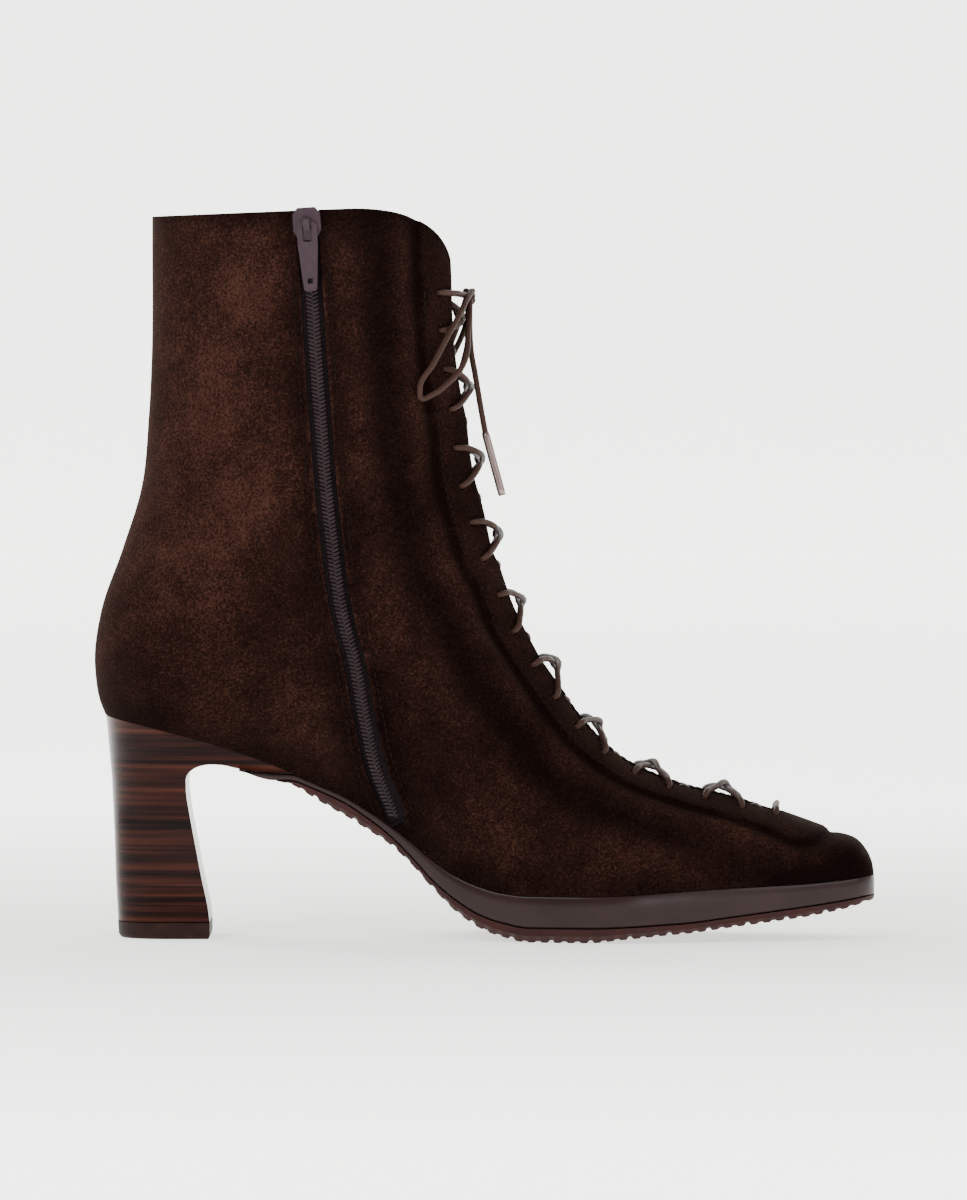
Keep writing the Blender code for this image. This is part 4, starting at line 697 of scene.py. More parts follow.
class Shader:
    """A material's node tree with short ways to add and join nodes."""

    def __init__(self, name):
        self.material = bpy.data.materials.new(name)
        self.material.use_nodes = True
        self.tree = self.material.node_tree
        self.shader = self.tree.nodes["Principled BSDF"]
        self.place = self.tree.nodes.new("ShaderNodeTexCoord").outputs["Object"]

    def set(self, **values):
        for name, value in values.items():
            self.shader.inputs[name.replace("_", " ")].default_value = value

    def link(self, source, target):
        self.tree.links.new(source, target)

    def stretched(self, scale):
        node = self.tree.nodes.new("ShaderNodeMapping")
        node.inputs["Scale"].default_value = scale
        self.link(self.place, node.inputs["Vector"])
        return node.outputs["Vector"]

    def noise(self, scale, detail=3.0, roughness=0.55, vector=None, distortion=0.0):
        node = self.tree.nodes.new("ShaderNodeTexNoise")
        node.inputs["Scale"].default_value = scale
        node.inputs["Detail"].default_value = detail
        node.inputs["Roughness"].default_value = roughness
        node.inputs["Distortion"].default_value = distortion
        self.link(vector or self.place, node.inputs["Vector"])
        return node.outputs["Fac"]

    def ramp(self, factor, stops):
        node = self.tree.nodes.new("ShaderNodeValToRGB")
        points = node.color_ramp.elements
        while len(points) < len(stops):
            points.new(0.5)
        for point, (position, colour) in zip(points, stops):
            point.position = position
            point.color = (*colour, 1.0)
        self.link(factor, node.inputs["Fac"])
        return node.outputs["Color"]

    def math(self, operation, first, second):
        node = self.tree.nodes.new("ShaderNodeMath")
        node.operation = operation
        for socket, value in zip(node.inputs, (first, second)):
            if isinstance(value, (int, float)):
                socket.default_value = value
            else:
                self.link(value, socket)
        return node.outputs[0]

    def bump(self, height, strength, distance, before=None):
        node = self.tree.nodes.new("ShaderNodeBump")
        node.inputs["Strength"].default_value = strength
        node.inputs["Distance"].default_value = distance
        self.link(height, node.inputs["Height"])
        if before:
            self.link(before, node.inputs["Normal"])
        self.link(node.outputs["Normal"], self.shader.inputs["Normal"])
        return node.outputs["Normal"]

    def wave(self, scale, direction, vector=None, distortion=0.0):
        node = self.tree.nodes.new("ShaderNodeTexWave")
        node.bands_direction = direction
        node.inputs["Scale"].default_value = scale
        node.inputs["Distortion"].default_value = distortion
        self.link(vector or self.place, node.inputs["Vector"])
        return node.outputs["Fac"]

    def colour(self, socket):
        self.link(socket, self.shader.inputs["Base Color"])


def mottled(name, scale, tones, bump=None, **settings):
    """A surface between two tones, by a noise. bump is a finer noise's scale, strength and distance."""
    made = Shader(name)
    made.set(**settings)
    made.colour(made.ramp(made.noise(scale), tones))
    if bump:
        made.bump(made.noise(bump[0]), bump[1], bump[2])
    return made.material


SUEDE_DARK = (0.0032, 0.0012, 0.0010)
SUEDE_MID = (0.0125, 0.0049, 0.0039)
SUEDE_LIGHT = (0.050, 0.0205, 0.0140)
# Point attribute of painted shade on the upper, read by the suede's colour
SHADE_NAME = "shade"


def suede_material():
    """Nap that lies this way and that: broad patches, a mottle and a fine fleck, with painted shade from the
    shade attribute by the seams, the zip, the collar, the toe, the feather line and the heel seat.
    """
    made = Shader("suede_nap")
    made.set(Roughness=0.95, Sheen_Weight=0.06, Sheen_Roughness=0.5, Sheen_Tint=(0.45, 0.26, 0.20, 1.0))
    made.set(IOR=1.08)
    patches = made.noise(19.0, 3.0, 0.5, distortion=0.5)
    mottle = made.noise(120.0, 4.0, 0.6)
    fleck = made.noise(1350.0, 2.0, 0.75)
    shade = made.tree.nodes.new("ShaderNodeAttribute")
    shade.attribute_name = SHADE_NAME
    joined = made.math("ADD", made.math("MULTIPLY", patches, 0.42), made.math("MULTIPLY", mottle, 0.20))
    joined = made.math("ADD", joined, made.math("MULTIPLY", fleck, 0.62))
    # The shade attribute darkens the colour: painted shade by the eyestay and its seam, the zip, the collar,
    # the toe, the feather line and the heel seat
    joined = made.math("SUBTRACT", joined, made.math("MULTIPLY", shade.outputs["Fac"], 0.19))
    made.colour(made.ramp(joined, ((0.45, SUEDE_DARK), (0.62, SUEDE_MID), (0.82, SUEDE_LIGHT))))
    first = made.bump(fleck, 0.5, 0.0005)
    made.bump(mottle, 0.25, 0.0006, first)
    return made.material


def lining_material():
    tones = ((0.3, (0.42, 0.245, 0.165)), (0.7, (0.60, 0.38, 0.27)))
    grain = (900.0, 0.25, 0.0003)
    return mottled("lining_leather", 60.0, tones, grain, Roughness=0.6, Specular_IOR_Level=0.3)


def platform_material():
    """Lacquered wrap: smooth and glossy over a dark purple-brown ground."""
    tones = ((0.35, (0.019, 0.0088, 0.0088)), (0.7, (0.026, 0.0125, 0.0125)))
    return mottled("lacquered_platform", 70.0, tones, (500.0, 0.05, 0.0002), Roughness=0.3, IOR=1.28)


def rubber_material():
    tones = ((0.3, (0.022, 0.0056, 0.0048)), (0.7, (0.036, 0.0092, 0.0076)))
    return mottled("brown_rubber", 90.0, tones, (1400.0, 0.12, 0.0002), Roughness=0.5, IOR=1.25)


def stack_material():
    """Stacked layers: broad and thin level bands with a fine streak along them."""
    made = Shader("stacked_heel")
    made.set(Roughness=0.22, IOR=1.16)
    level = made.stretched((6.0, 6.0, 330.0))
    streak = made.stretched((30.0, 30.0, 2400.0))
    bands = made.noise(1.0, 2.0, 0.6, level)
    lines = made.noise(1.0, 2.0, 0.6, streak)
    joined = made.math("ADD", made.math("MULTIPLY", bands, 0.8), made.math("MULTIPLY", lines, 0.22))
    made.colour(made.ramp(joined, (
        (0.40, (0.0052, 0.0020, 0.0020)), (0.48, (0.013, 0.0043, 0.0035)),
        (0.56, (0.028, 0.0080, 0.0060)), (0.66, (0.054, 0.0160, 0.0105)),
    )))
    made.bump(joined, 0.10, 0.0003)
    return made.material


def lift_material():
    tones = ((0.3, (0.016, 0.0075, 0.0065)), (0.7, (0.026, 0.012, 0.010)))
    return mottled("heel_lift_rubber", 200.0, tones, (1500.0, 0.15, 0.0002), Roughness=0.5, IOR=1.16)


def lace_material():
    """Waxed round cord: a fine braid read from the tube's own turn and length."""
    made = Shader("waxed_cord")
    made.set(Roughness=0.5, IOR=1.2)
    made.place = made.tree.nodes["Texture Coordinate"].outputs["UV"]
    one = made.wave(2.2, "DIAGONAL")
    flipped = made.stretched((-1.0, 1.0, 1.0))
    other = made.wave(2.2, "DIAGONAL", flipped)
    braid = made.math("MULTIPLY", one, other)
    made.colour(made.ramp(braid, ((0.0, (0.020, 0.0088, 0.0066)), (0.6, (0.072, 0.036, 0.028)))))
    made.bump(braid, 0.35, 0.0002)
    return made.material


def metal_material(name, colour, roughness, metallic):
    tones = ((0.3, tuple(c * 0.85 for c in colour)), (0.7, colour))
    return mottled(name, 400.0, tones, (2600.0, 0.08, 0.0001), Roughness=roughness, Metallic=metallic)


def cloth_material():
    made = Shader("zip_tape_cloth")
    made.set(Roughness=0.9, IOR=1.1)
    weave = made.noise(2200.0, 1.0)
    made.colour(made.ramp(weave, ((0.35, (0.0045, 0.0030, 0.0034)), (0.65, (0.012, 0.0080, 0.0090)))))
    made.bump(weave, 0.4, 0.0003)
    return made.material


def coil_material():
    tones = ((0.3, (0.011, 0.0058, 0.0072)), (0.7, (0.022, 0.0118, 0.0145)))
    return mottled("zip_teeth", 300.0, tones, Roughness=0.4, IOR=1.25)


def thread_material():
    tones = ((0.3, (0.006, 0.0032, 0.0028)), (0.7, (0.015, 0.0080, 0.0068)))
    return mottled("sewing_thread", 3000.0, tones, Roughness=0.75, IOR=1.12)


# The upper's fine surface

TOE_FINE_TURNS = (0, 12, 24, 36, 48, 60, 72, 84)
THROAT_FINE_TURNS = (20, 32, 44, 56, 68, 80)
WING_MARGIN = 0.0040
NORMAL_ROUNDS = 4
SEAT_FINE_TURNS = (84, 74, 64, 54, 44, 34, 24, 14)
ROW_PITCH = 0.0018
VAMP_PITCH = 0.6 * ROW_PITCH
UPPER_MERGE = 1.5e-5
COLLAR_FINE_ROWS = 14
STAY_SHARES = (0.0, 0.012, 0.03, 0.07, 0.14, 0.24, 0.35, 0.47, 0.59, 0.70, 0.80, 0.88, 0.94)
TIGHTEST_SEAM = 0.05
FLANK_WAVE = 0.12 / (2 * math.pi)
SEAM_STEPS = (-0.0004, 0.0, 0.0005, 0.0010, 0.0016, 0.0023, 0.0031, 0.0042)
FLANK_COLUMNS = 52
SHORTEST_STAY = 0.008
SLOT_PAST_TOP = 0.02
SLOT_DEEPEST = -0.008
FEATHER_TUCK = 0.8 * SOLE_GAP

# Soft creases: side, from (x, z) to (x, z), width and depth, in metres from the heel's back
CREASES = (
    (MEDIAL, 0.118, 0.112, 0.142, 0.082, 0.0040, 0.0011),
    (MEDIAL, 0.106, 0.098, 0.134, 0.066, 0.0050, 0.0010),
    (MEDIAL, 0.052, 0.128, 0.030, 0.108, 0.0060, 0.0009),
    (MEDIAL, 0.060, 0.112, 0.034, 0.094, 0.0055, 0.0008),
    (MEDIAL, 0.150, 0.060, 0.176, 0.040, 0.0050, 0.0006),
    (LATERAL, 0.116, 0.114, 0.144, 0.084, 0.0042, 0.0012),
    (LATERAL, 0.098, 0.106, 0.128, 0.076, 0.0052, 0.0012),
    (LATERAL, 0.060, 0.126, 0.032, 0.106, 0.0060, 0.0010),
    (LATERAL, 0.070, 0.108, 0.036, 0.090, 0.0055, 0.0009),
    (LATERAL, 0.154, 0.056, 0.184, 0.038, 0.0050, 0.0007),
)
CREASE_SWELL = 0.35
# The eyestay stands up a little. Past its seam come a soft valley, a swell and a wide dip: how far from the
# seam, how wide and how high. Painted shade lies in two bands there (how far, how wide and how dark) and over
# the eyestay itself (how dark, and how soft its edge is).
STAY_RIDGE = 0.0007
STAY_EDGE = 0.0012 / 3.2
SEAM_SWELLS = ((0.0016, 0.0016, -0.0006), (0.0075, 0.0042, 0.0004), (0.0155, 0.0050, -0.0007))
SEAM_SHADES = ((0.0014, 0.0022, 0.9), (0.0155, 0.0065, 0.75))
STAY_SHADE = 0.45
STAY_SHADE_RUN = 0.004 / 3.0
# The zip's swollen edge, the furrow past it and the painted shade beside it, as gap, width and height or
# darkness
ZIP_EDGE = (ZIP_SLOT / 2, 0.0016, 0.0005)
ZIP_FURROW = (ZIP_SLOT / 2 + 0.0034, 0.0012, -0.00035)
ZIP_SHADE = (0.0, 0.0085, 0.8)
# Turned edge of the throat and the back seam, as the same three, and how far forward the seam's strip goes
THROAT_TURN = (0.0, 0.0007, -0.0005)
BACK_SEAM = (0.0, 0.0009, -0.0004)
BACK_STRIP = 0.030
# Painted shade below the collar, at the toe, above the feather line and round the heel seat
COLLAR_SHADE = (0.0, 0.006, 0.6)
TOE_SHADE = (0.0, 0.022, 0.55)
FEATHER_SHADE = (0.0, 0.007, 0.5)
SEAT_SHADE = (0.012, 0.018, 0.5)
SEAT_SHADE_HEIGHT = 0.022
DARKEST_SHADE = 1.4


def crease_depth(points, side):
    """Soft troughs: negative heights along the normal."""
    total = np.zeros(len(points))
    for crease_side, x0, z0, x1, z1, width, depth in CREASES:
        if crease_side != side:
            continue
        start, end = np.array([x0, z0]), np.array([x1, z1])
        along = end - start
        share = ((points[:, [0, 2]] - start) @ along) / (along @ along)
        inside = np.clip(share, 0.0, 1.0)
        gap = np.linalg.norm(points[:, [0, 2]] - start - inside[:, None] * along, axis=1)
        fade = np.sin(np.pi * np.clip(share, 0.02, 0.98)) ** 0.6
        total -= depth * fade * np.exp(-((gap / width) ** 2))
        total += CREASE_SWELL * depth * fade * np.exp(-(((gap - 2 * width) / width) ** 2))
    return total


ZIP_RISES = np.linspace(ZIP_LINE[0][1], ZIP_LINE[-1][1], 90)
ZIP_PLACES = np.array([zip_middle(rise) for rise in ZIP_RISES])


def zip_gap(points):
    """Distance from the zip's middle line in the side view."""
    flat = points[:, [0, 2]]
    gaps = np.linalg.norm(flat[:, None, :] - ZIP_PLACES[None, :, :], axis=2)
    return gaps.min(axis=1)


def wing_station():
    """Station of the last whole row, below the foot of the wings."""
    tries = np.linspace(STATIONS[-4], STATIONS[-1], 25)
    heights = [on_upper(t, MEDIAL, 0.0)[2] for t in tries]
    return float(np.interp(BOOT_HEIGHT - WING_DROP - WING_MARGIN, heights, tries))


def evened(field):
    """Each vector of a grid averaged with its neighbours, so that narrow cells don't tilt it."""
    for _ in range(NORMAL_ROUNDS):
        for axis in (0, 1):
            edges = np.concatenate([field.take([0], axis), field, field.take([-1], axis)], axis)
            count = field.shape[axis]
            before, after = edges.take(range(count), axis), edges.take(range(2, count + 2), axis)
            field = (before + 2 * field + after) / 4
    return field


def fine_stations():
    toe = [TOE_CORNER * (1 - math.cos(math.radians(turn))) for turn in TOE_FINE_TURNS]
    vamp = list(np.arange(toe[-1] + ROW_PITCH, THROAT_STATION - ROW_PITCH / 3, VAMP_PITCH))
    throat = [THROAT_STATION] + [
        THROAT_STATION + THROAT_ROUND * (1 - math.cos(math.radians(turn))) for turn in THROAT_FINE_TURNS
    ]
    tries = np.linspace(STATIONS[len(FOOT_SECTIONS) - 3], SEAT_STATION, 120)
    feet = np.array([-section_values(t)["foot_x"] for t in tries])
    seat = [SEAT_SETBACK + SEAT_ROUND * (1 - math.cos(math.radians(turn))) for turn in SEAT_FINE_TURNS]
    seat = [float(np.interp(-x, feet, tries)) for x in seat]
    instep = list(np.arange(throat[-1] + ROW_PITCH, seat[0] - ROW_PITCH / 3, ROW_PITCH))
    last = wing_station()
    shaft = list(np.arange(SEAT_STATION, last - ROW_PITCH / 3, ROW_PITCH)) + [last]
    return toe + vamp + throat + instep + seat + shaft


def fine_distances(length, stay):
    """Distances of a row's points from its top, close together by the eyestay's seam."""
    stay = min(max(stay, SHORTEST_STAY), 0.5 * length)
    inner = [share * stay for share in STAY_SHARES]
    seam_room = min(1.0, stay / (2 * SEAM_STEPS[-1]))
    seam = [stay + step * max(seam_room, TIGHTEST_SEAM) for step in SEAM_STEPS]
    share = np.linspace(0, 1, FLANK_COLUMNS + 1)[1:]
    flank = seam[-1] + (length - seam[-1]) * (share + FLANK_WAVE * np.sin(2 * np.pi * share))
    return np.array(inner + seam + list(flank))


def seam_distance(station):
    """The eyestay's width, with one smooth line past the round toe end of the throat."""
    if station < THROAT_STATION:
        return stay_half_length(station)
    return STAY_WIDTH + max(THROAT_ROUND - throat_half(station), 0.0)


def seam_stations(count):
    """Stations along the eyestay's seam, closer together at the toe end of its U."""
    toe = THROAT_STATION - STAY_BEYOND_THROAT
    near = toe + (THROAT_STATION - toe) * (1 - np.cos(np.linspace(0.02, math.pi / 2, count // 4)))
    return list(near) + list(np.linspace(THROAT_STATION, STATIONS[-1], count - count // 4)[1:])


def stay_outline(side):
    """Points along the eyestay's outer seam, from the toe end of its U to the collar."""
    return np.array([on_upper(t, side, seam_distance(t)) for t in seam_stations(220)])


def gap_to(points, line):
    """Distance of each point from the nearest point of a line."""
    gaps = [np.linalg.norm(line[None, :, :] - row[:, None, :], axis=2).min(axis=1) for row in points]
    return np.array(gaps)


def band(gap, shape):
    """A bell along a line: shape is how far off the line it lies, how wide it is and its size."""
    off, width, size = shape
    return size * np.exp(-(((gap - off) / width) ** 2))


def fading(gap, run):
    """Falls from 1 to 0 across a line, within about this run."""
    return 1 / (1 + np.exp(gap / run))


def relief(rows, distances, stays, side, stations):
    """Heights along the normals, and the painted shade: eyestay, zip, back seam and creases, with painted
    shade also at the collar, toe, feather line and heel seat.
    """
    seam = gap_to(rows, stay_outline(side))
    inside = np.array([d < stay for d, stay in zip(distances, stays)])
    signed = np.where(inside, -seam, seam)
    height = STAY_RIDGE * fading(signed, STAY_EDGE) + sum(band(signed, shape) for shape in SEAM_SWELLS)
    shade = STAY_SHADE * fading(signed, STAY_SHADE_RUN) + sum(band(signed, shape) for shape in SEAM_SHADES)
    for i, row in enumerate(rows):
        if i >= len(stations) or stations[i] > THROAT_STATION:
            height[i] += band(distances[i], THROAT_TURN)
        height[i] += crease_depth(row, side)
        if side == MEDIAL:
            gap = zip_gap(row)
            height[i] += band(gap, ZIP_EDGE) + band(gap, ZIP_FURROW)
            shade[i] += band(gap, ZIP_SHADE)
        back = (row[:, 0] < BACK_STRIP) & (row[:, 2] > HEEL_HEIGHT)
        height[i] += np.where(back, band(row[:, 1], BACK_SEAM), 0.0)
    x, above = rows[:, :, 0], rows[:, :, 2] - feather_height(rows[:, :, 0])
    shade = shade + band(BOOT_HEIGHT - rows[:, :, 2], COLLAR_SHADE) + band(BOOT_LENGTH - x, TOE_SHADE)
    shade = shade + band(above, FEATHER_SHADE)
    shade = shade + band(x, SEAT_SHADE) * band(above, (0.0, SEAT_SHADE_HEIGHT, 1.0))
    return height, np.clip(shade, 0.0, DARKEST_SHADE)


def side_rows(side):
    """Fine rows of one side, from the ridge or throat's edge down, with the collar's own last rows."""
    rows, stays, distances = [], [], []
    stations = fine_stations()

    def place(station, spread=None):
        line, length = measured_line(station, side)
        if spread is None:
            spread = fine_distances(length[-1], seam_distance(station))
        at = np.column_stack([np.interp(spread, length, line[:, axis]) for axis in range(3)])
        return at, spread

    for station in stations:
        at, spread = place(station)
        rows.append(at)
        distances.append(spread)
        stays.append(seam_distance(station))
    start, last = stations[-1], distances[-1]
    tries = np.linspace(STATIONS[-4], STATIONS[-1], 40)
    sheets = np.array([place(t, last)[0] for t in tries])
    ends = [float(np.interp(collar_height(d / last[-1]), sheets[:, i, 2], tries)) for i, d in enumerate(last)]
    for share in np.linspace(0, 1, COLLAR_FINE_ROWS + 1)[1:]:
        at = [start + share * (end - start) for end in ends]
        row = [[np.interp(t, tries, sheets[:, i, axis]) for axis in range(3)] for i, t in enumerate(at)]
        rows.append(np.array(row))
        distances.append(last)
        stays.append(STAY_WIDTH)
    return np.array(rows), distances, stays, stations


def collar_height(share):
    """Height of the collar at a share of the way from the throat's edge to the back seam."""
    wing = WING_DROP * (1 - math.sqrt(1 - max(1 - share / WING_SHARE, 0.0) ** 2))
    return BOOT_HEIGHT - COLLAR_BACK_DROP * (1 - math.cos(math.pi * share)) / 2 - wing


def upper_grid():
    halves = {}
    for side in (MEDIAL, LATERAL):
        rows, distances, stays, stations = side_rows(side)
        along = np.gradient(rows, axis=0)
        down = np.gradient(rows, axis=1)
        normals = evened(np.cross(down, along) * side)
        normals /= np.maximum(np.linalg.norm(normals, axis=2, keepdims=True), 1e-12)
        height, shade = relief(rows, distances, stays, side, stations)
        raised = rows + height[:, :, None] * normals
        foot = [i for i, station in enumerate(stations) if station <= SEAT_STATION]
        raised[foot, -1, 2] -= FEATHER_TUCK
        halves[side] = (raised, shade)
    return halves, stations


def make_upper(suede, lining):
    halves, stations = upper_grid()
    (medial, medial_shade), (lateral, lateral_shade) = halves[MEDIAL], halves[LATERAL]
    columns = medial.shape[1]
    points, index, shades = [], [], []
    for i in range(len(medial)):
        row = list(medial[i][::-1]) + list(lateral[i])
        shades += list(medial_shade[i][::-1]) + list(lateral_shade[i])
        numbers = list(range(len(points), len(points) + 2 * columns))
        if i < len(stations) and stations[i] <= THROAT_STATION:
            middle = (row[columns - 1] + row[columns]) / 2
            row[columns - 1] = middle
            row[columns] = middle
        if i >= len(stations) or stations[i] > SEAT_STATION:
            middle = (row[0] + row[-1]) / 2
            row[0] = middle
            row[-1] = middle
        points.extend(row)
        index.append(numbers)
    faces = []
    for lower, higher in zip(index[:-1], index[1:]):
        faces += [
            (lower[j], lower[j + 1], higher[j + 1], higher[j])
            for j in range(2 * columns - 1) if j != columns - 1
        ]
    tip = len(points)
    points.append((points[index[0][0]] + points[index[0][-1]]) / 2)
    faces += [(index[0][j + 1], index[0][j], tip) for j in range(2 * columns - 1) if j != columns - 1]
    shades.append(shades[0])
    data = plain_mesh("upper_suede", moved(points), faces)
    # The painted shade goes on the upper as a point attribute for the suede's colour
    data.attributes.new(SHADE_NAME, "FLOAT", "POINT").data.foreach_set("value", shades)
    tidy_mesh(data, UPPER_MERGE)
    data.materials.append(suede)
    data.materials.append(lining)
    obj = link("upper_suede", data)
    skin = BVHTree.FromObject(obj, bpy.context.evaluated_depsgraph_get())
    walled(obj, WALL, quality=True)
    outline = zip_outline(ZIP_SLOT / 2, SLOT_PAST_TOP)
    slot = side_cutter("slot", outline, -BALL_WIDTH, SLOT_DEEPEST, suede)
    cutters = [slot, hole_cutter(suede)]
    for cutter in cutters:
        boolean(obj, cutter)
    applied(obj)
    for cutter in cutters:
        bpy.data.objects.remove(cutter, do_unlink=True)
    smooth(obj.data, 50)
    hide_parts("upper")
    return skin


BAR_SETBACK = 0.0045
HOLE_SIDES = 14
HOLE_CUT = 2.6 * WALL


def hole_cutter(suede):
    shape = bmesh.new()
    for i, station in enumerate(HOLES):
        setback = BAR_SETBACK if i == 0 else HOLE_SETBACK
        for side in (MEDIAL, LATERAL):
            face = on_upper(station, side, setback)
            normal = Vector(on_upper(station, side, setback, 0.001)) - Vector(face)
            turn = normal.to_track_quat("Z", "Y").to_matrix().to_4x4()
            centre = Vector(moved(face)) + normal.normalized() * (STAY_STEP - WALL) / 2
            bmesh.ops.create_cone(
                shape, cap_ends=True, segments=HOLE_SIDES, radius1=HOLE / 2, radius2=HOLE / 2,
                depth=HOLE_CUT, matrix=Matrix.Translation(centre) @ turn,
            )
    data = bpy.data.meshes.new("holes")
    shape.to_mesh(data)
    shape.free()
    data.materials.append(suede)
    return scratch_object("holes", data)


HOLES = hole_stations()


# Tongue

TONGUE_ROWS = 90
TONGUE_COLUMNS = 34
TONGUE_CROWN = 0.012
GAP_SHARE = 0.5


def make_tongue(suede, lining):
    """The same sheet as the part's, finer, with a top edge that is round at its corners."""
    top = HOLES[-1] + TONGUE_ABOVE_HOLES
    start = THROAT_STATION + TONGUE_START
    grid = []
    for row in np.linspace(0, 1, TONGUE_ROWS):
        line = []
        for column in np.linspace(-1, 1, TONGUE_COLUMNS):
            drop = TONGUE_CROWN * (1 - math.sqrt(1 - 0.98 * column * column))
            station = start + row * (top - drop - start)
            if abs(column) > GAP_SHARE:
                side = MEDIAL if column < 0 else LATERAL
                under = TONGUE_UNDERLAP * (abs(column) - GAP_SHARE) / (1 - GAP_SHARE)
                line.append(on_upper(station, side, under, -TONGUE_DEPTH))
            else:
                line.append(on_throat(station, 0.5 + column / (2 * GAP_SHARE), -TONGUE_DEPTH))
        grid.append(line)
    faces = grid_faces(TONGUE_ROWS, TONGUE_COLUMNS)
    data = plain_mesh("tongue_suede", moved([p for line in grid for p in line]), faces)
    tidy_mesh(data)
    if sum(face.normal.x for face in data.polygons) < 0:
        data.flip_normals()
    data.materials.append(suede)
    data.materials.append(lining)
    obj = link("tongue_suede", data)
    walled(obj, TONGUE)
    smooth(obj.data, 60)
    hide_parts("tongue")


# Sole

SOLE_PITCH = 0.0016
TREAD_PITCH = 0.0004
FINE_TOE_TURNS = (0, 10, 20, 30, 40, 50, 60, 70, 80, 90)
EDGE_ROUND = 0.0005
NOTCH_PITCH = GROOVE_PITCH / 3
NOTCH_DEPTH = 0.0005
NOTCH_WIDTH = 0.0011


def sole_places(start):
    flat_end = BOOT_LENGTH - TOE_CORNER
    toe = [BOOT_LENGTH - TOE_CORNER * (1 - math.cos(math.radians(turn))) for turn in FINE_TOE_TURNS]
    return list(np.arange(start, flat_end, SOLE_PITCH)) + sorted(toe)


def make_platform(surface):
    """Rings across the layer, each with a rounded upper edge and a flank that slants in below."""
    rings = []
    for x in sole_places(PLATFORM_START * BOOT_LENGTH):
        top, bottom = float(platform_top(x)), float(platform_bottom(x))
        slant = platform_slant(x)
        round_off = min(EDGE_ROUND, (top - bottom) / 4)
        ring = []
        for side in (MEDIAL, LATERAL):
            wide = float(feather_side(x, side))
            edge = [
                (wide - 1.6 * round_off, top), (wide - 0.5 * round_off, top - 0.15 * round_off),
                (wide, top - round_off), (wide - slant * 0.35, (top + bottom) / 2),
                (wide - slant, bottom + round_off), (wide - slant - round_off, bottom),
            ]
            half = [(x, side * y, z) for y, z in edge]
            ring += half if side == MEDIAL else half[::-1]
        rings.append(ring)
    data = lofted("platform_lacquer", rings)
    data.materials.append(surface)
    smooth(data, 50)
    obj = link("platform_lacquer", data)
    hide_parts("platform")


def tread_depth(x):
    """Cross grooves between the lugs and a fine notch at each third of their pitch."""
    first = OUTSOLE_START * BOOT_LENGTH + GROOVE_PITCH
    to_notch = abs((x - first + NOTCH_PITCH / 2) % NOTCH_PITCH - NOTCH_PITCH / 2)
    to_groove = abs((x - first + GROOVE_PITCH / 2) % GROOVE_PITCH - GROOVE_PITCH / 2)
    notch = NOTCH_DEPTH * float(np.clip((NOTCH_WIDTH - to_notch) / (0.4 * NOTCH_WIDTH), 0.0, 1.0))
    groove = GROOVE_DEPTH * float(np.clip((GROOVE_WIDTH / 2 - to_groove) / GROOVE_FLANK, 0.0, 1.0))
    return max(notch, groove)


def make_outsole(surface):
    """Rings across the rubber, with a bevelled edge and the tread cut into its lower face."""
    rings = []
    start = OUTSOLE_START * BOOT_LENGTH
    fine = np.arange(start, BOOT_LENGTH - TOE_CORNER, TREAD_PITCH)
    places = sorted(set(sole_places(start)) | set(fine))
    for x in places:
        top = float(platform_bottom(x)) - GAP
        thick = top - float(outsole_bottom(x))
        groove = min(tread_depth(x), thick / 3)
        slant = platform_slant(x)
        bevel = slant + OUTSOLE_BEVEL * thick / OUTSOLE_THICKNESS
        edge, low = top - thick / 2, top - thick + groove
        ring = []
        for side in (MEDIAL, LATERAL):
            wide = float(feather_side(x, side))
            half = [
                (x, side * (wide - slant), top), (x, side * (wide - slant - GAP), edge),
                (x, side * (wide - bevel), low), (x, side * (wide - bevel) * 0.6, low),
            ]
            ring += half if side == MEDIAL else half[::-1]
        rings.append(ring)
    data = lofted("outsole_rubber", rings)
    data.materials.append(surface)
    smooth(data, 30)
    obj = link("outsole_rubber", data)
    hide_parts("outsole")


# Heel

HEEL_TURNS = 18
HEEL_ROWS = 40
HEEL_EDGE = 0.0003
NARROWEST_FRONT = 0.001
AROUND_HEEL = 1.5
SEAT_STEPS = 60
LIP_STEPS = 14
# The lift's worn-in edge: rise, and how far the ring stays in at the sides, the back and the breast
LIFT_EDGE_ROWS = (
    (0.0, 0.0008, 0.0016, 0.0004), (0.0004, 0.00032, 0.0008, 0.0002),
    (0.00128, 0.0, 0.00024, 0.0), (LIFT, 0.0, 0.0, 0.0),
)


def heel_ring(z, half, back, front, corner):
    """A D-shaped ring at one height: round at the back, square at the breast."""
    place = HEEL_MIDDLE_PLACE * BOOT_LENGTH
    middle = float(feather_side(place, LATERAL) - feather_side(place, MEDIAL)) / 2
    ring = []
    for turn in np.linspace(0, 90, HEEL_TURNS):
        angle = math.radians(turn)
        x = back + corner * (1 - math.sin(angle))
        ring.append((x, middle + half - corner * (1 - math.cos(angle)), z))
    mirrored = [(x, 2 * middle - y, z) for x, y, z in ring[::-1]]
    return [(front, middle + half, z)] + ring + mirrored + [(front, middle - half, z)]


def smooth_outline(points, pitch=0.001):
    points = np.array(points, float)
    length = lengths_along(points)
    at = np.linspace(0, length[-1], int(length[-1] / pitch) + 2)
    return [tuple(p) for p in np.column_stack([curve_through(length, points[:, i], at) for i in range(2)])]


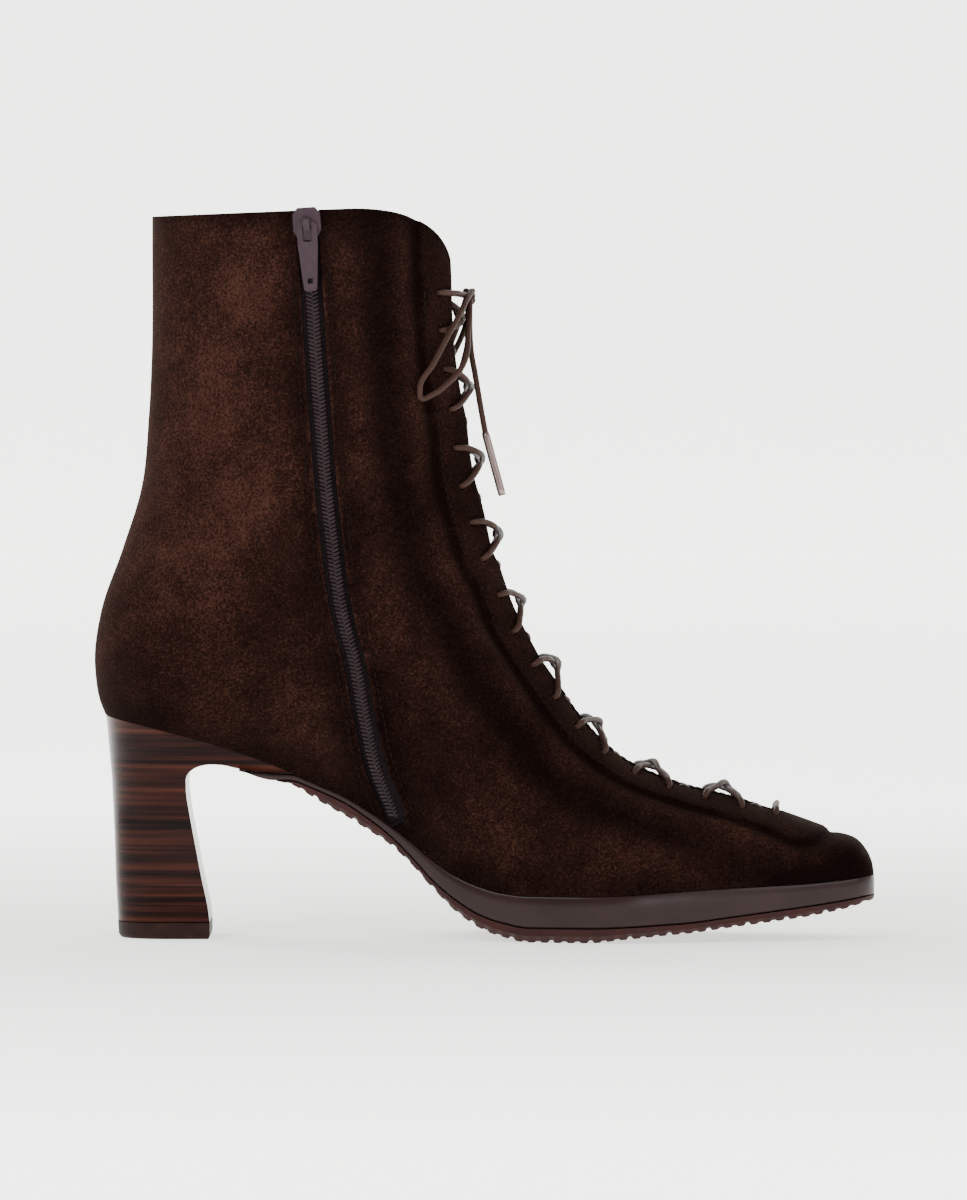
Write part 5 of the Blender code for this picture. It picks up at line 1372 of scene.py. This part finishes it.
def heel_outline():
    """Side outline of all that lies above the seat, below the lip and in front of the breast."""
    above, beyond, below = BOOT_HEIGHT / 2, BOOT_LENGTH / 2, -LIFT
    seat = np.linspace(0.0, LIP_PLACES[0] * BOOT_LENGTH, SEAT_STEPS)
    seat_line = [(x, float(feather_height(x)) - SOLE_GAP) for x in seat]
    below_lip = np.linspace(LIP_PLACES[0], LIP_PLACES[-1], LIP_STEPS) * BOOT_LENGTH
    lip = [(x, float(platform_top(x)) + SOLE_GAP) for x in below_lip]
    breast = smooth_outline([(x * BOOT_LENGTH, z * HEEL_HEIGHT) for x, z in HEEL_BREAST])
    start = (-SEAT_SETBACK, seat_line[0][1])
    foot = (breast[0][0], below)
    around = [foot, (beyond, below), (beyond, above)]
    return [(start[0], above), start] + seat_line + lip + breast[::-1] + around


def make_heel(surface):
    rings = []
    bottom = (LIFT + GAP) / HEEL_HEIGHT
    for share in np.linspace(bottom, HEEL_BLANK_TOP, HEEL_ROWS):
        z = share * HEEL_HEIGHT
        grown = min(max((share - WIDENS_FROM) / WIDENS_OVER, 0.0), 1.0)
        half = heel_half(z)
        corner = min(HEEL_CORNER + (SEAT_CORNER - HEEL_CORNER) * grown, half - NARROWEST_FRONT)
        rings.append(heel_ring(z, half, heel_back(z), HEEL_BLANK_END * BOOT_LENGTH, corner))
    data = lofted("heel_stacked", rings)
    data.materials.append(surface)
    obj = link("heel_stacked", data)
    outline = heel_outline()
    half = HEEL_TOP_HALF * AROUND_HEEL
    cutter = side_cutter("around", outline, -half, half, surface)
    boolean(obj, cutter, solver="MANIFOLD")
    applied(obj)
    bpy.data.objects.remove(cutter, do_unlink=True)
    eased(obj, HEEL_EDGE, 50)
    smooth(obj.data, 40)
    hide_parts("heel")


def make_lift(surface):
    front, back = HEEL_BREAST[0][0] * BOOT_LENGTH, HEEL_BACK[0][0] * BOOT_LENGTH
    half = heel_half(0.0)
    rings = [
        heel_ring(rise, half - beside, back + behind, front - breast, HEEL_CORNER)
        for rise, beside, behind, breast in LIFT_EDGE_ROWS
    ]
    data = lofted("heel_lift_rubber", rings)
    data.materials.append(surface)
    smooth(data, 35)
    obj = link("heel_lift_rubber", data)
    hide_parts("heel_lift")


# Cords


def smooth_points(route, spacing):
    """Points about this far apart on a smooth curve through a route's points."""
    route = np.array(route, float)
    length = lengths_along(route)
    places = np.linspace(0.0, length[-1], max(int(round(length[-1] / spacing)), 2) + 1)
    return np.column_stack([curve_through(length, route[:, axis], places) for axis in range(3)])


def sweep(name, points, radius, sides=10, ends=(1.0, 1.0)):
    """A round tube along these points, its frame carried along without twist, with a UV map."""
    points = np.asarray(points, float)
    tangents = np.gradient(points, axis=0)
    tangents /= np.linalg.norm(tangents, axis=1, keepdims=True)
    side = np.cross(tangents[0], (0.0, 0.0, 1.0))
    if np.linalg.norm(side) < 0.1:
        side = np.cross(tangents[0], (0.0, 1.0, 0.0))
    side /= np.linalg.norm(side)
    length = lengths_along(points)
    turns = np.linspace(0, 2 * math.pi, sides, endpoint=False)
    vertices = []
    radii = np.full(len(points), radius)
    radii[0] *= ends[0]
    radii[-1] *= ends[1]
    for point, tangent, size in zip(points, tangents, radii):
        side = side - tangent * (side @ tangent)
        side /= np.linalg.norm(side)
        other = np.cross(tangent, side)
        for turn in turns:
            vertices.append(point + size * (math.cos(turn) * side + math.sin(turn) * other))
    faces = grid_faces(len(points), sides, closed=True)
    first, last = list(range(sides)), list(range((len(points) - 1) * sides, len(points) * sides))
    data = plain_mesh(name, moved(vertices), faces + [tuple(first), tuple(last[::-1])])
    layer = data.uv_layers.new(name="UVMap").data
    for face in data.polygons:
        corners = [data.loops[i].vertex_index for i in face.loop_indices]
        columns = [v % sides for v in corners]
        wraps = len(corners) == 4 and max(columns) - min(columns) > 1
        for loop, vertex, column in zip(face.loop_indices, corners, columns):
            across = (column + sides if wraps and column == 0 else column) / sides
            layer[loop].uv = (across * 2.0, length[vertex // sides] / (math.pi * radius))
    outward(data)
    data.shade_smooth()
    return data


FACING_LIFT = STAY_STEP + GAP + LACE / 2
UNDER_LIFT = STAY_STEP - WALL - GAP - LACE / 2
LACE_PITCH = 0.0005
LACE_SIDES = 10
# A crossing over the facings starts with these points: share of the way to the next hole, distance from
# the throat's edge and height over the facing. It ends with the same, mirrored.
FACING_POINTS = ((0.02, HOLE_SETBACK - 0.0008, 0.0), (0.14, 0.0025, 0.0002), (0.25, 0.0, 0.0003))
# Of two laces that cross, how far the over one and the under one lie from their common height
OUTER_OVER, OUTER_UNDER = 0.0006, -0.0012
INNER_OVER, INNER_UNDER = 0.0013, -0.0005
TOP_OVER, TOP_UNDER = 0.0008, -0.0008
INNER_TUCK = 0.0010
INNER_SAG = 0.0002
HOLE_SLACK = (0.0006, 0.0005)


def outer_points(first, second, side, over):
    """Over the facings: down to the throat's edge, across it, and up to the next hole."""
    span = second - first
    near = [on_upper(first + share * span, side, off, FACING_LIFT + up) for share, off, up in FACING_POINTS]
    far = [on_upper(second - share * span, -side, off, FACING_LIFT + up) for share, off, up in FACING_POINTS]
    rise = LACE / 2 + OUTER_CROSSING_RISE + (OUTER_OVER if over else OUTER_UNDER)
    return near + [on_throat((first + second) / 2, 0.5, rise)] + far[::-1]


def inner_points(first, second, side, over):
    """Below the facings and over the tongue."""
    span = second - first
    begin, end = (0.0, 1.0) if side == MEDIAL else (1.0, 0.0)
    middle = UNDER_LIFT + (INNER_OVER if over else INNER_UNDER)
    edge = UNDER_LIFT - INNER_SAG
    points = [on_upper(first + 0.05 * span, side, HOLE_SETBACK - INNER_TUCK, UNDER_LIFT)]
    for share, deep in ((0.03, edge), (0.5, middle), (0.97, edge)):
        points.append(on_throat(first + (0.2 + 0.6 * share) * span, begin + (end - begin) * share, deep))
    points.append(on_upper(second - 0.05 * span, -side, HOLE_SETBACK - INNER_TUCK, UNDER_LIFT))
    return points


def through_hole(station, side, outwards, setback=HOLE_SETBACK):
    lifts = (UNDER_LIFT + HOLE_SLACK[0], (STAY_STEP - WALL) / 2, FACING_LIFT - HOLE_SLACK[1])
    points = [on_upper(station, side, setback, lift) for lift in lifts]
    return points if outwards else points[::-1]


def lace_route(start_side):
    """One half of the lace: from the middle of the bottom bar to the knot, through every hole."""
    side = start_side
    over = side == MEDIAL
    points = [
        on_throat(HOLES[0], 0.5, LACE / 2 + GAP),
        on_upper(HOLES[0], side, 0.0, FACING_LIFT),
        on_upper(HOLES[0], side, BAR_SETBACK - 0.0009, FACING_LIFT - 0.0001),
    ]
    points += through_hole(HOLES[0], side, False, BAR_SETBACK)
    for i in range(HOLE_PAIRS - 2):
        crossing = inner_points if i % 2 == 0 else outer_points
        points += crossing(HOLES[i], HOLES[i + 1], side, over if i % 4 < 2 else not over)
        side = -side
        points += through_hole(HOLES[i + 1], side, i % 2 == 0)
    first, last = HOLES[-2], HOLES[-1]
    span = last - first
    beside, below = (0.83, 0.95) if side == MEDIAL else (0.17, 0.05)
    points += [
        on_upper(first + 0.10 * span, side, 0.0025, FACING_LIFT + 0.0002),
        on_upper(first + 0.17 * span, side, 0.0, FACING_LIFT + 0.0003),
        on_throat(first + 0.45 * span, 0.5, LACE / 2 + GAP + (TOP_OVER if over else TOP_UNDER)),
        on_throat(first + 0.72 * span, beside, -0.3 * LACE),
        on_throat(first + 0.84 * span, below, UNDER_LIFT),
        on_upper(last - 0.02 * span, -side, 0.6 * HOLE_SETBACK, UNDER_LIFT - 0.0004),
    ]
    side = -side
    points += through_hole(last, side, True)
    points += [
        on_upper(last, side, 0.6 * HOLE_SETBACK, FACING_LIFT),
        on_upper(last, side, 0.0, FACING_LIFT + 0.0003),
    ]
    knot_side = np.array(KNOT) + (-0.0006, side * KNOT_SIZE[1] / 2, -0.0002)
    return points + [0.5 * (points[-1] + knot_side) + (0.0006, 0.0, 0.0), knot_side]


def make_lacing(surface):
    for name, side in (("lace_from_medial", MEDIAL), ("lace_from_lateral", LATERAL)):
        data = sweep(name, smooth_points(lace_route(side), LACE_PITCH), LACE / 2, LACE_SIDES)
        data.materials.append(surface)
        obj = link(name, data)
    nodes = ["lace_bar_bottom", "lace_bar_top", "lace_over_top"]
    nodes += [f"lace_over_{i}" for i in range(1, 9)] + [f"lace_under_{i}" for i in range(1, 10)]
    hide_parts(*nodes)


AGLET_OVERLAP = 0.0008
AGLET_SIDES = 16
AGLET_ROWS = 14
AGLET_ENDS = (0.93, 0.93)
KNOT_STEPS = 90
KNOT_LACE = 0.48 * LACE
KNOT_SPREAD = 1.1


def knot_points():
    """Three turns of the lace drawn tight, within the part's knot."""
    turns = np.linspace(0, 2 * math.pi, KNOT_STEPS)
    half = (np.array(KNOT_SIZE) - LACE) / 2
    x = -np.sin(3 * turns)
    y = KNOT_SPREAD * (np.sin(turns) + 2 * np.sin(2 * turns)) / 3
    z = KNOT_SPREAD * (np.cos(turns) - 2 * np.cos(2 * turns)) / 3
    return np.array(KNOT) + half * np.column_stack([x, y, z])


def make_bow(surface, metal):
    data = sweep("knot", knot_points(), KNOT_LACE, LACE_SIDES)
    data.materials.append(surface)
    knot = link("knot", data)
    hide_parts("lace_knot")
    aglets = {}
    for name, route in (("aglet_medial", MEDIAL_AGLET), ("aglet_lateral", LATERAL_AGLET)):
        along = np.subtract(route[1], route[0])
        begin = np.array(route[0]) - AGLET_OVERLAP * along / np.linalg.norm(along)
        line = np.linspace(begin, route[1], AGLET_ROWS)
        data = sweep(f"{name}_tube", line, AGLET / 2, AGLET_SIDES, AGLET_ENDS)
        data.materials.append(metal)
        aglets[name] = link(f"{name}_tube", data)
        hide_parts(name)
    pieces = (
        ("lace_loop_medial", MEDIAL_LOOP, "object", []),
        ("lace_loop_lateral", LATERAL_LOOP, "object", []),
        ("lace_end_medial", MEDIAL_END, "fitting", [aglets["aglet_medial"], knot]),
        ("lace_end_lateral", LATERAL_END, "fitting", [aglets["aglet_lateral"]]),
    )
    for name, route, far_end, carried in pieces:
        points = smooth_points(route, LACE_PITCH)
        data = sweep(f"{name}_cord", points, LACE / 2, LACE_SIDES)
        data.materials.append(surface)
        obj = link(f"{name}_cord", data)
        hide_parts(name)


# Zip

TOOTH_PITCH = 0.00128
TOOTH_REACH = 0.0021
TOOTH_THICK = 0.00060
TOOTH_SIDES = 6
TOOTH_PLACES = {-1: 0.75, 1: 0.25}
TOOTH_PAST_MIDDLE = 0.00035
TOOTH_SLANT = (0.0004, 0.0006)
TOOTH_RISE = 0.00045
TOOTH_TIP_RISE = 0.0004
TAPE_TUCK = 0.0002
TAPE_FOOT_TURNS = (80, 60, 40, 20)
# Along a capsule, as shares of its length, its radius in shares of its own
CAPSULE_RINGS = ((0.0, 0.45), (0.12, 0.85), (0.3, 1.0), (0.7, 1.0), (0.88, 0.85), (1.0, 0.45))


def tape_rows(half, outer, thickness, skin):
    """Cross rings of the tape, from the round foot of the slot to below the collar."""
    rings = []
    foot, across = zip_middle(ZIP_LINE[0][1]), zip_across(ZIP_LINE[0][1])
    down = np.array([across[1], -across[0]])
    rows = []
    for turn in TAPE_FOOT_TURNS:
        angle = math.radians(turn)
        rows.append((foot + half * math.sin(angle) * down, across, half * math.cos(angle)))
    for rise in np.linspace(ZIP_LINE[0][1], ZIP_TOP, ZIP_STEPS):
        rows.append((zip_middle(rise), zip_across(rise), half))
    for middle, over, reach in rows:
        ends = [middle + side * reach * over for side in (-1, 1)]
        depth = skin_place(skin, middle)[0][1] if over_skin(skin, middle) else depth
        depths = [skin_place(skin, end)[0][1] if over_skin(skin, end) else depth for end in ends]
        ring = [(end[0], y + outer, end[1]) for end, y in zip(ends, depths)]
        ring += [(end[0], y + outer + thickness, end[1]) for end, y in list(zip(ends, depths))[::-1]]
        rings.append(ring)
    return rings


def over_skin(skin, place):
    """Whether the medial face of the upper covers an (x, z) place."""
    start = Vector((place[0] + SHIFT[0], -BALL_WIDTH, place[1]))
    return skin.ray_cast(start, Vector((0, 1, 0)))[0] is not None


def skin_place(skin, place):
    """Point and normal of the medial face of the upper at an (x, z) place, in the last's own axes."""
    start = Vector((place[0] + SHIFT[0], -BALL_WIDTH, place[1]))
    spot, normal, _, _ = skin.ray_cast(start, Vector((0, 1, 0)))
    return np.array(spot) - SHIFT, np.array(normal)


def capsule(shape, start, end, radius, sides):
    """A short rod with tapered ends between two points, added to a bmesh."""
    start, end = Vector(start), Vector(end)
    axis = end - start
    turn = axis.to_track_quat("Z", "Y").to_matrix().to_4x4()
    rows = []
    for along, size in CAPSULE_RINGS:
        row = []
        for k in range(sides):
            angle = 2 * math.pi * k / sides
            across = radius * size
            local = Vector((across * math.cos(angle), across * math.sin(angle), along * axis.length))
            row.append(shape.verts.new(start + turn.to_3x3() @ local))
        rows.append(row)
    for lower, higher in zip(rows[:-1], rows[1:]):
        for k in range(sides):
            n = (k + 1) % sides
            shape.faces.new((lower[k], lower[n], higher[n], higher[k]))
    shape.faces.new(rows[0][::-1])
    shape.faces.new(rows[-1])


def bmesh_piece(name, shape, surface):
    data = bpy.data.meshes.new(name)
    bmesh.ops.recalc_face_normals(shape, faces=shape.faces)
    shape.to_mesh(data)
    shape.free()
    data.materials.append(surface)
    data.shade_smooth()
    return link(name, data)


def make_zip(skin, cloth, teeth):
    """The tape in the slot and, on it, the teeth of both sides, one after the other."""
    rings = tape_rows(ZIP_SLOT / 2 + TAPE_TUCK, ZIP_RECESS, ZIP_TAPE, skin)
    data = lofted("zip_tape_cloth", rings)
    data.materials.append(cloth)
    tape = link("zip_tape_cloth", data)
    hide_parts("zip_tape")
    steps = np.linspace(ZIP_LINE[0][1], ZIP_TOP, 400)
    line = np.array([zip_middle(rise) for rise in steps])
    length = lengths_along(line)
    shape = bmesh.new()
    for i in range(int(length[-1] / TOOTH_PITCH)):
        for side in (-1, 1):
            at = (i + TOOTH_PLACES[side]) * TOOTH_PITCH
            if at > length[-1]:
                continue
            rise = float(np.interp(at, length, steps))
            middle, across = zip_middle(rise), zip_across(rise)
            up = np.array([-across[1], across[0]])
            inner = middle - side * TOOTH_PAST_MIDDLE * across - TOOTH_SLANT[0] * up
            outer = middle + side * TOOTH_REACH * across + TOOTH_SLANT[1] * up
            depth = skin_place(skin, middle)[0][1] + ZIP_RECESS - TOOTH_RISE
            start = moved((inner[0], depth - TOOTH_TIP_RISE, inner[1]))
            capsule(shape, start, moved((outer[0], depth, outer[1])), TOOTH_THICK, TOOTH_SIDES)
    coil = bmesh_piece("zip_coil_teeth", shape, teeth)
    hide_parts("zip_coil")


# Stitching

STITCH_PITCH = 0.0026
STITCH = 0.0019
THREAD = 0.00024
THREAD_SIDES = 5
THREAD_LIFT = 0.3 * THREAD
EDGE_STITCH = 0.0020
SEAM_STITCH = 0.0012
ZIP_STITCH = 0.0022


def stitch_line(shape, spots, normals):
    """Stitches along a line of surface points, each sunk a little at its ends."""
    length = lengths_along(spots)
    for at in np.arange(STITCH_PITCH / 2, length[-1] - STITCH_PITCH / 2, STITCH_PITCH):
        ends = []
        for shift in (-STITCH / 2, STITCH / 2):
            place = np.array([np.interp(at + shift, length, spots[:, axis]) for axis in range(3)])
            normal = np.array([np.interp(at + shift, length, normals[:, axis]) for axis in range(3)])
            ends.append(moved(place + THREAD_LIFT * normal / np.linalg.norm(normal)))
        capsule(shape, ends[0], ends[1], THREAD, THREAD_SIDES)


def skin_nearest(skin, point):
    spot, normal, _, _ = skin.find_nearest(Vector(moved(point)))
    return np.array(spot) - SHIFT, np.array(normal)


def make_stitching(skin, surface):
    shape = bmesh.new()
    top = wing_station()
    for side in (MEDIAL, LATERAL):
        edge = [on_upper(t, side, EDGE_STITCH) for t in np.linspace(THROAT_STATION + THROAT_ROUND, top, 220)]
        seam = [on_upper(t, side, seam_distance(t) - SEAM_STITCH) for t in seam_stations(260) if t < top]
        for line in (edge, seam[2:]):
            spots = [skin_nearest(skin, point) for point in line]
            stitch_line(shape, np.array([s[0] for s in spots]), np.array([s[1] for s in spots]))
    offset = ZIP_SLOT / 2 + ZIP_STITCH
    for side in (-1, 1):
        rises = np.linspace(ZIP_LINE[0][1], ZIP_TOP, 160)
        places = [zip_middle(rise) + side * offset * zip_across(rise) for rise in rises]
        spots = [skin_place(skin, place) for place in places if over_skin(skin, place)]
        stitch_line(shape, np.array([s[0] for s in spots]), np.array([s[1] for s in spots]))
    bmesh_piece("stitching", shape, surface)


# CAD nodes that stay, with their own finish


def dress_nodes(finishes):
    for name, surface, width in finishes:
        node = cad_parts[name]
        node.data.materials.clear()
        node.data.materials.append(surface)
        if width:
            eased(node, width, 30)


# Floor, light and camera

VIEW_HEIGHT = 0.385
CAMERA_DISTANCE = 3.4
CAMERA_ELEVATION = 1.5
WORLD_STRENGTH = 0.85
# The floor's glow is weaker near the boot, a painted shadow, and reaches its full strength far from the boot
NEAR_FLOOR = 0.15
FAR_FLOOR = 0.9
PAINTED_SHADOW_GLOW = 1.2
FAR_GLOW = 3.0
LOOK_AT = (0.0, 0.0, 0.108)
SENSOR = 36.0
FLOOR_FRONT, WALL_PLACE, FLOOR_REACH, WALL_HEIGHT = -9.0, 7.0, 9.0, 6.0
COVE = 1.5
FLOOR_TONES = ((0.0, (0.80, 0.81, 0.775)), (1.0, (0.81, 0.82, 0.785)))
GLOW_COLOUR = (1.0, 1.0, 0.975, 1.0)
# The room's light from the back (first tone) to the camera's side, where it stays dark
ROOM_TONES = ((0.0, (1.0, 1.0, 0.98, 1.0)), (0.4, (0.09, 0.09, 0.09, 1.0)))
# Lamps: name, place, size and power
LAMPS = (
    ("key", (-0.9, -1.3, 1.5), 1.0, 26.0),
    ("front", (1.3, -1.1, 0.9), 0.9, 12.0),
    ("rim_back", (-1.0, 0.9, 1.0), 0.5, 10.0),
    ("low_strip", (0.5, -1.4, 0.15), 0.35, 3.0),
)
LAMP_AIM = Vector((0.0, 0.0, 0.1))


def make_floor():
    """Floor and wall in one, joined by a wide bend, glowing brighter away from the boot: the dimmer glow near
    it is a painted shadow.
    """
    reach, far, high = FLOOR_REACH, WALL_PLACE, WALL_HEIGHT
    corners = [(-reach, FLOOR_FRONT, 0), (reach, FLOOR_FRONT, 0), (reach, far, 0), (-reach, far, 0)]
    corners += [(reach, far, high), (-reach, far, high)]
    data = plain_mesh("floor", corners, [(0, 1, 2, 3), (3, 2, 4, 5)])
    floor = scratch_object("floor", data)
    bend = floor.modifiers.new("cove", "BEVEL")
    bend.width = COVE
    bend.segments = 24
    data.shade_smooth()
    made = Shader("pale_floor")
    made.set(Roughness=0.9, Specular_IOR_Level=0.1, Emission_Color=GLOW_COLOUR)
    made.colour(made.ramp(made.noise(2.0), FLOOR_TONES))
    away = made.tree.nodes.new("ShaderNodeVectorMath")
    away.operation = "LENGTH"
    made.link(made.place, away.inputs[0])
    # Glow rises with distance from the boot: the weak glow close to it is a painted shadow
    rise = made.ramp(away.outputs["Value"], ((NEAR_FLOOR, (0.0, 0.0, 0.0)), (FAR_FLOOR, (1.0, 1.0, 1.0))))
    glow = made.math("ADD", made.math("MULTIPLY", rise, FAR_GLOW - PAINTED_SHADOW_GLOW), PAINTED_SHADOW_GLOW)
    made.link(glow, made.shader.inputs["Emission Strength"])
    data.materials.append(made.material)


def make_room():
    """Even light from behind the boot, and little from the camera's side, so that gloss stays dark."""
    world = bpy.data.worlds.new("studio")
    bpy.context.scene.world = world
    world.use_nodes = True
    nodes, links = world.node_tree.nodes, world.node_tree.links
    place = nodes.new("ShaderNodeTexCoord")
    split = nodes.new("ShaderNodeSeparateXYZ")
    links.new(place.outputs["Generated"], split.inputs["Vector"])
    front = nodes.new("ShaderNodeMath")
    front.operation = "MULTIPLY"
    front.inputs[1].default_value = -1.0
    links.new(split.outputs["Y"], front.inputs[0])
    tones = nodes.new("ShaderNodeValToRGB")
    for element, (position, tone) in zip(tones.color_ramp.elements, ROOM_TONES):
        element.position = position
        element.color = tone
    links.new(front.outputs[0], tones.inputs["Fac"])
    links.new(tones.outputs["Color"], nodes["Background"].inputs["Color"])
    nodes["Background"].inputs["Strength"].default_value = WORLD_STRENGTH


def make_lamps():
    for name, place, size, power in LAMPS:
        lamp = bpy.data.lights.new(name, "AREA")
        lamp.energy = power
        lamp.size = size
        obj = scratch_object(name, lamp)
        obj.location = place
        obj.rotation_euler = (LAMP_AIM - Vector(place)).to_track_quat("-Z", "Y").to_euler()


def make_camera():
    data = bpy.data.cameras.new("camera")
    data.sensor_fit = "VERTICAL"
    data.sensor_height = SENSOR
    data.lens = SENSOR * CAMERA_DISTANCE / VIEW_HEIGHT
    camera = scratch_object("camera", data)
    tilt = math.radians(CAMERA_ELEVATION)
    look = Vector(LOOK_AT)
    camera.location = look + CAMERA_DISTANCE * Vector((0, -math.cos(tilt), math.sin(tilt)))
    camera.rotation_euler = (look - camera.location).to_track_quat("-Z", "Y").to_euler()
    bpy.context.scene.camera = camera


AGLET_COLOUR = (0.30, 0.225, 0.21)
ZIP_COLOUR = (0.060, 0.038, 0.048)


def main():
    make_camera()
    lace, metal = lace_material(), metal_material("aglet_metal", AGLET_COLOUR, 0.34, 1.0)
    suede, lining = suede_material(), lining_material()
    make_bow(lace, metal)
    make_lacing(lace)
    skin = make_upper(suede, lining)
    make_tongue(suede, lining)
    make_platform(platform_material())
    make_outsole(rubber_material())
    make_heel(stack_material())
    make_lift(lift_material())
    make_zip(skin, cloth_material(), coil_material())
    make_stitching(skin, thread_material())
    zip_metal = metal_material("zip_lacquered_metal", ZIP_COLOUR, 0.36, 0.75)
    dress_nodes((("zip_slider", zip_metal, 0.0003), ("zip_pull", zip_metal, 0.0002), ("insole", lining, 0.0)))
    make_floor()
    make_room()
    make_lamps()


main()
bpy.context.view_layer.update()
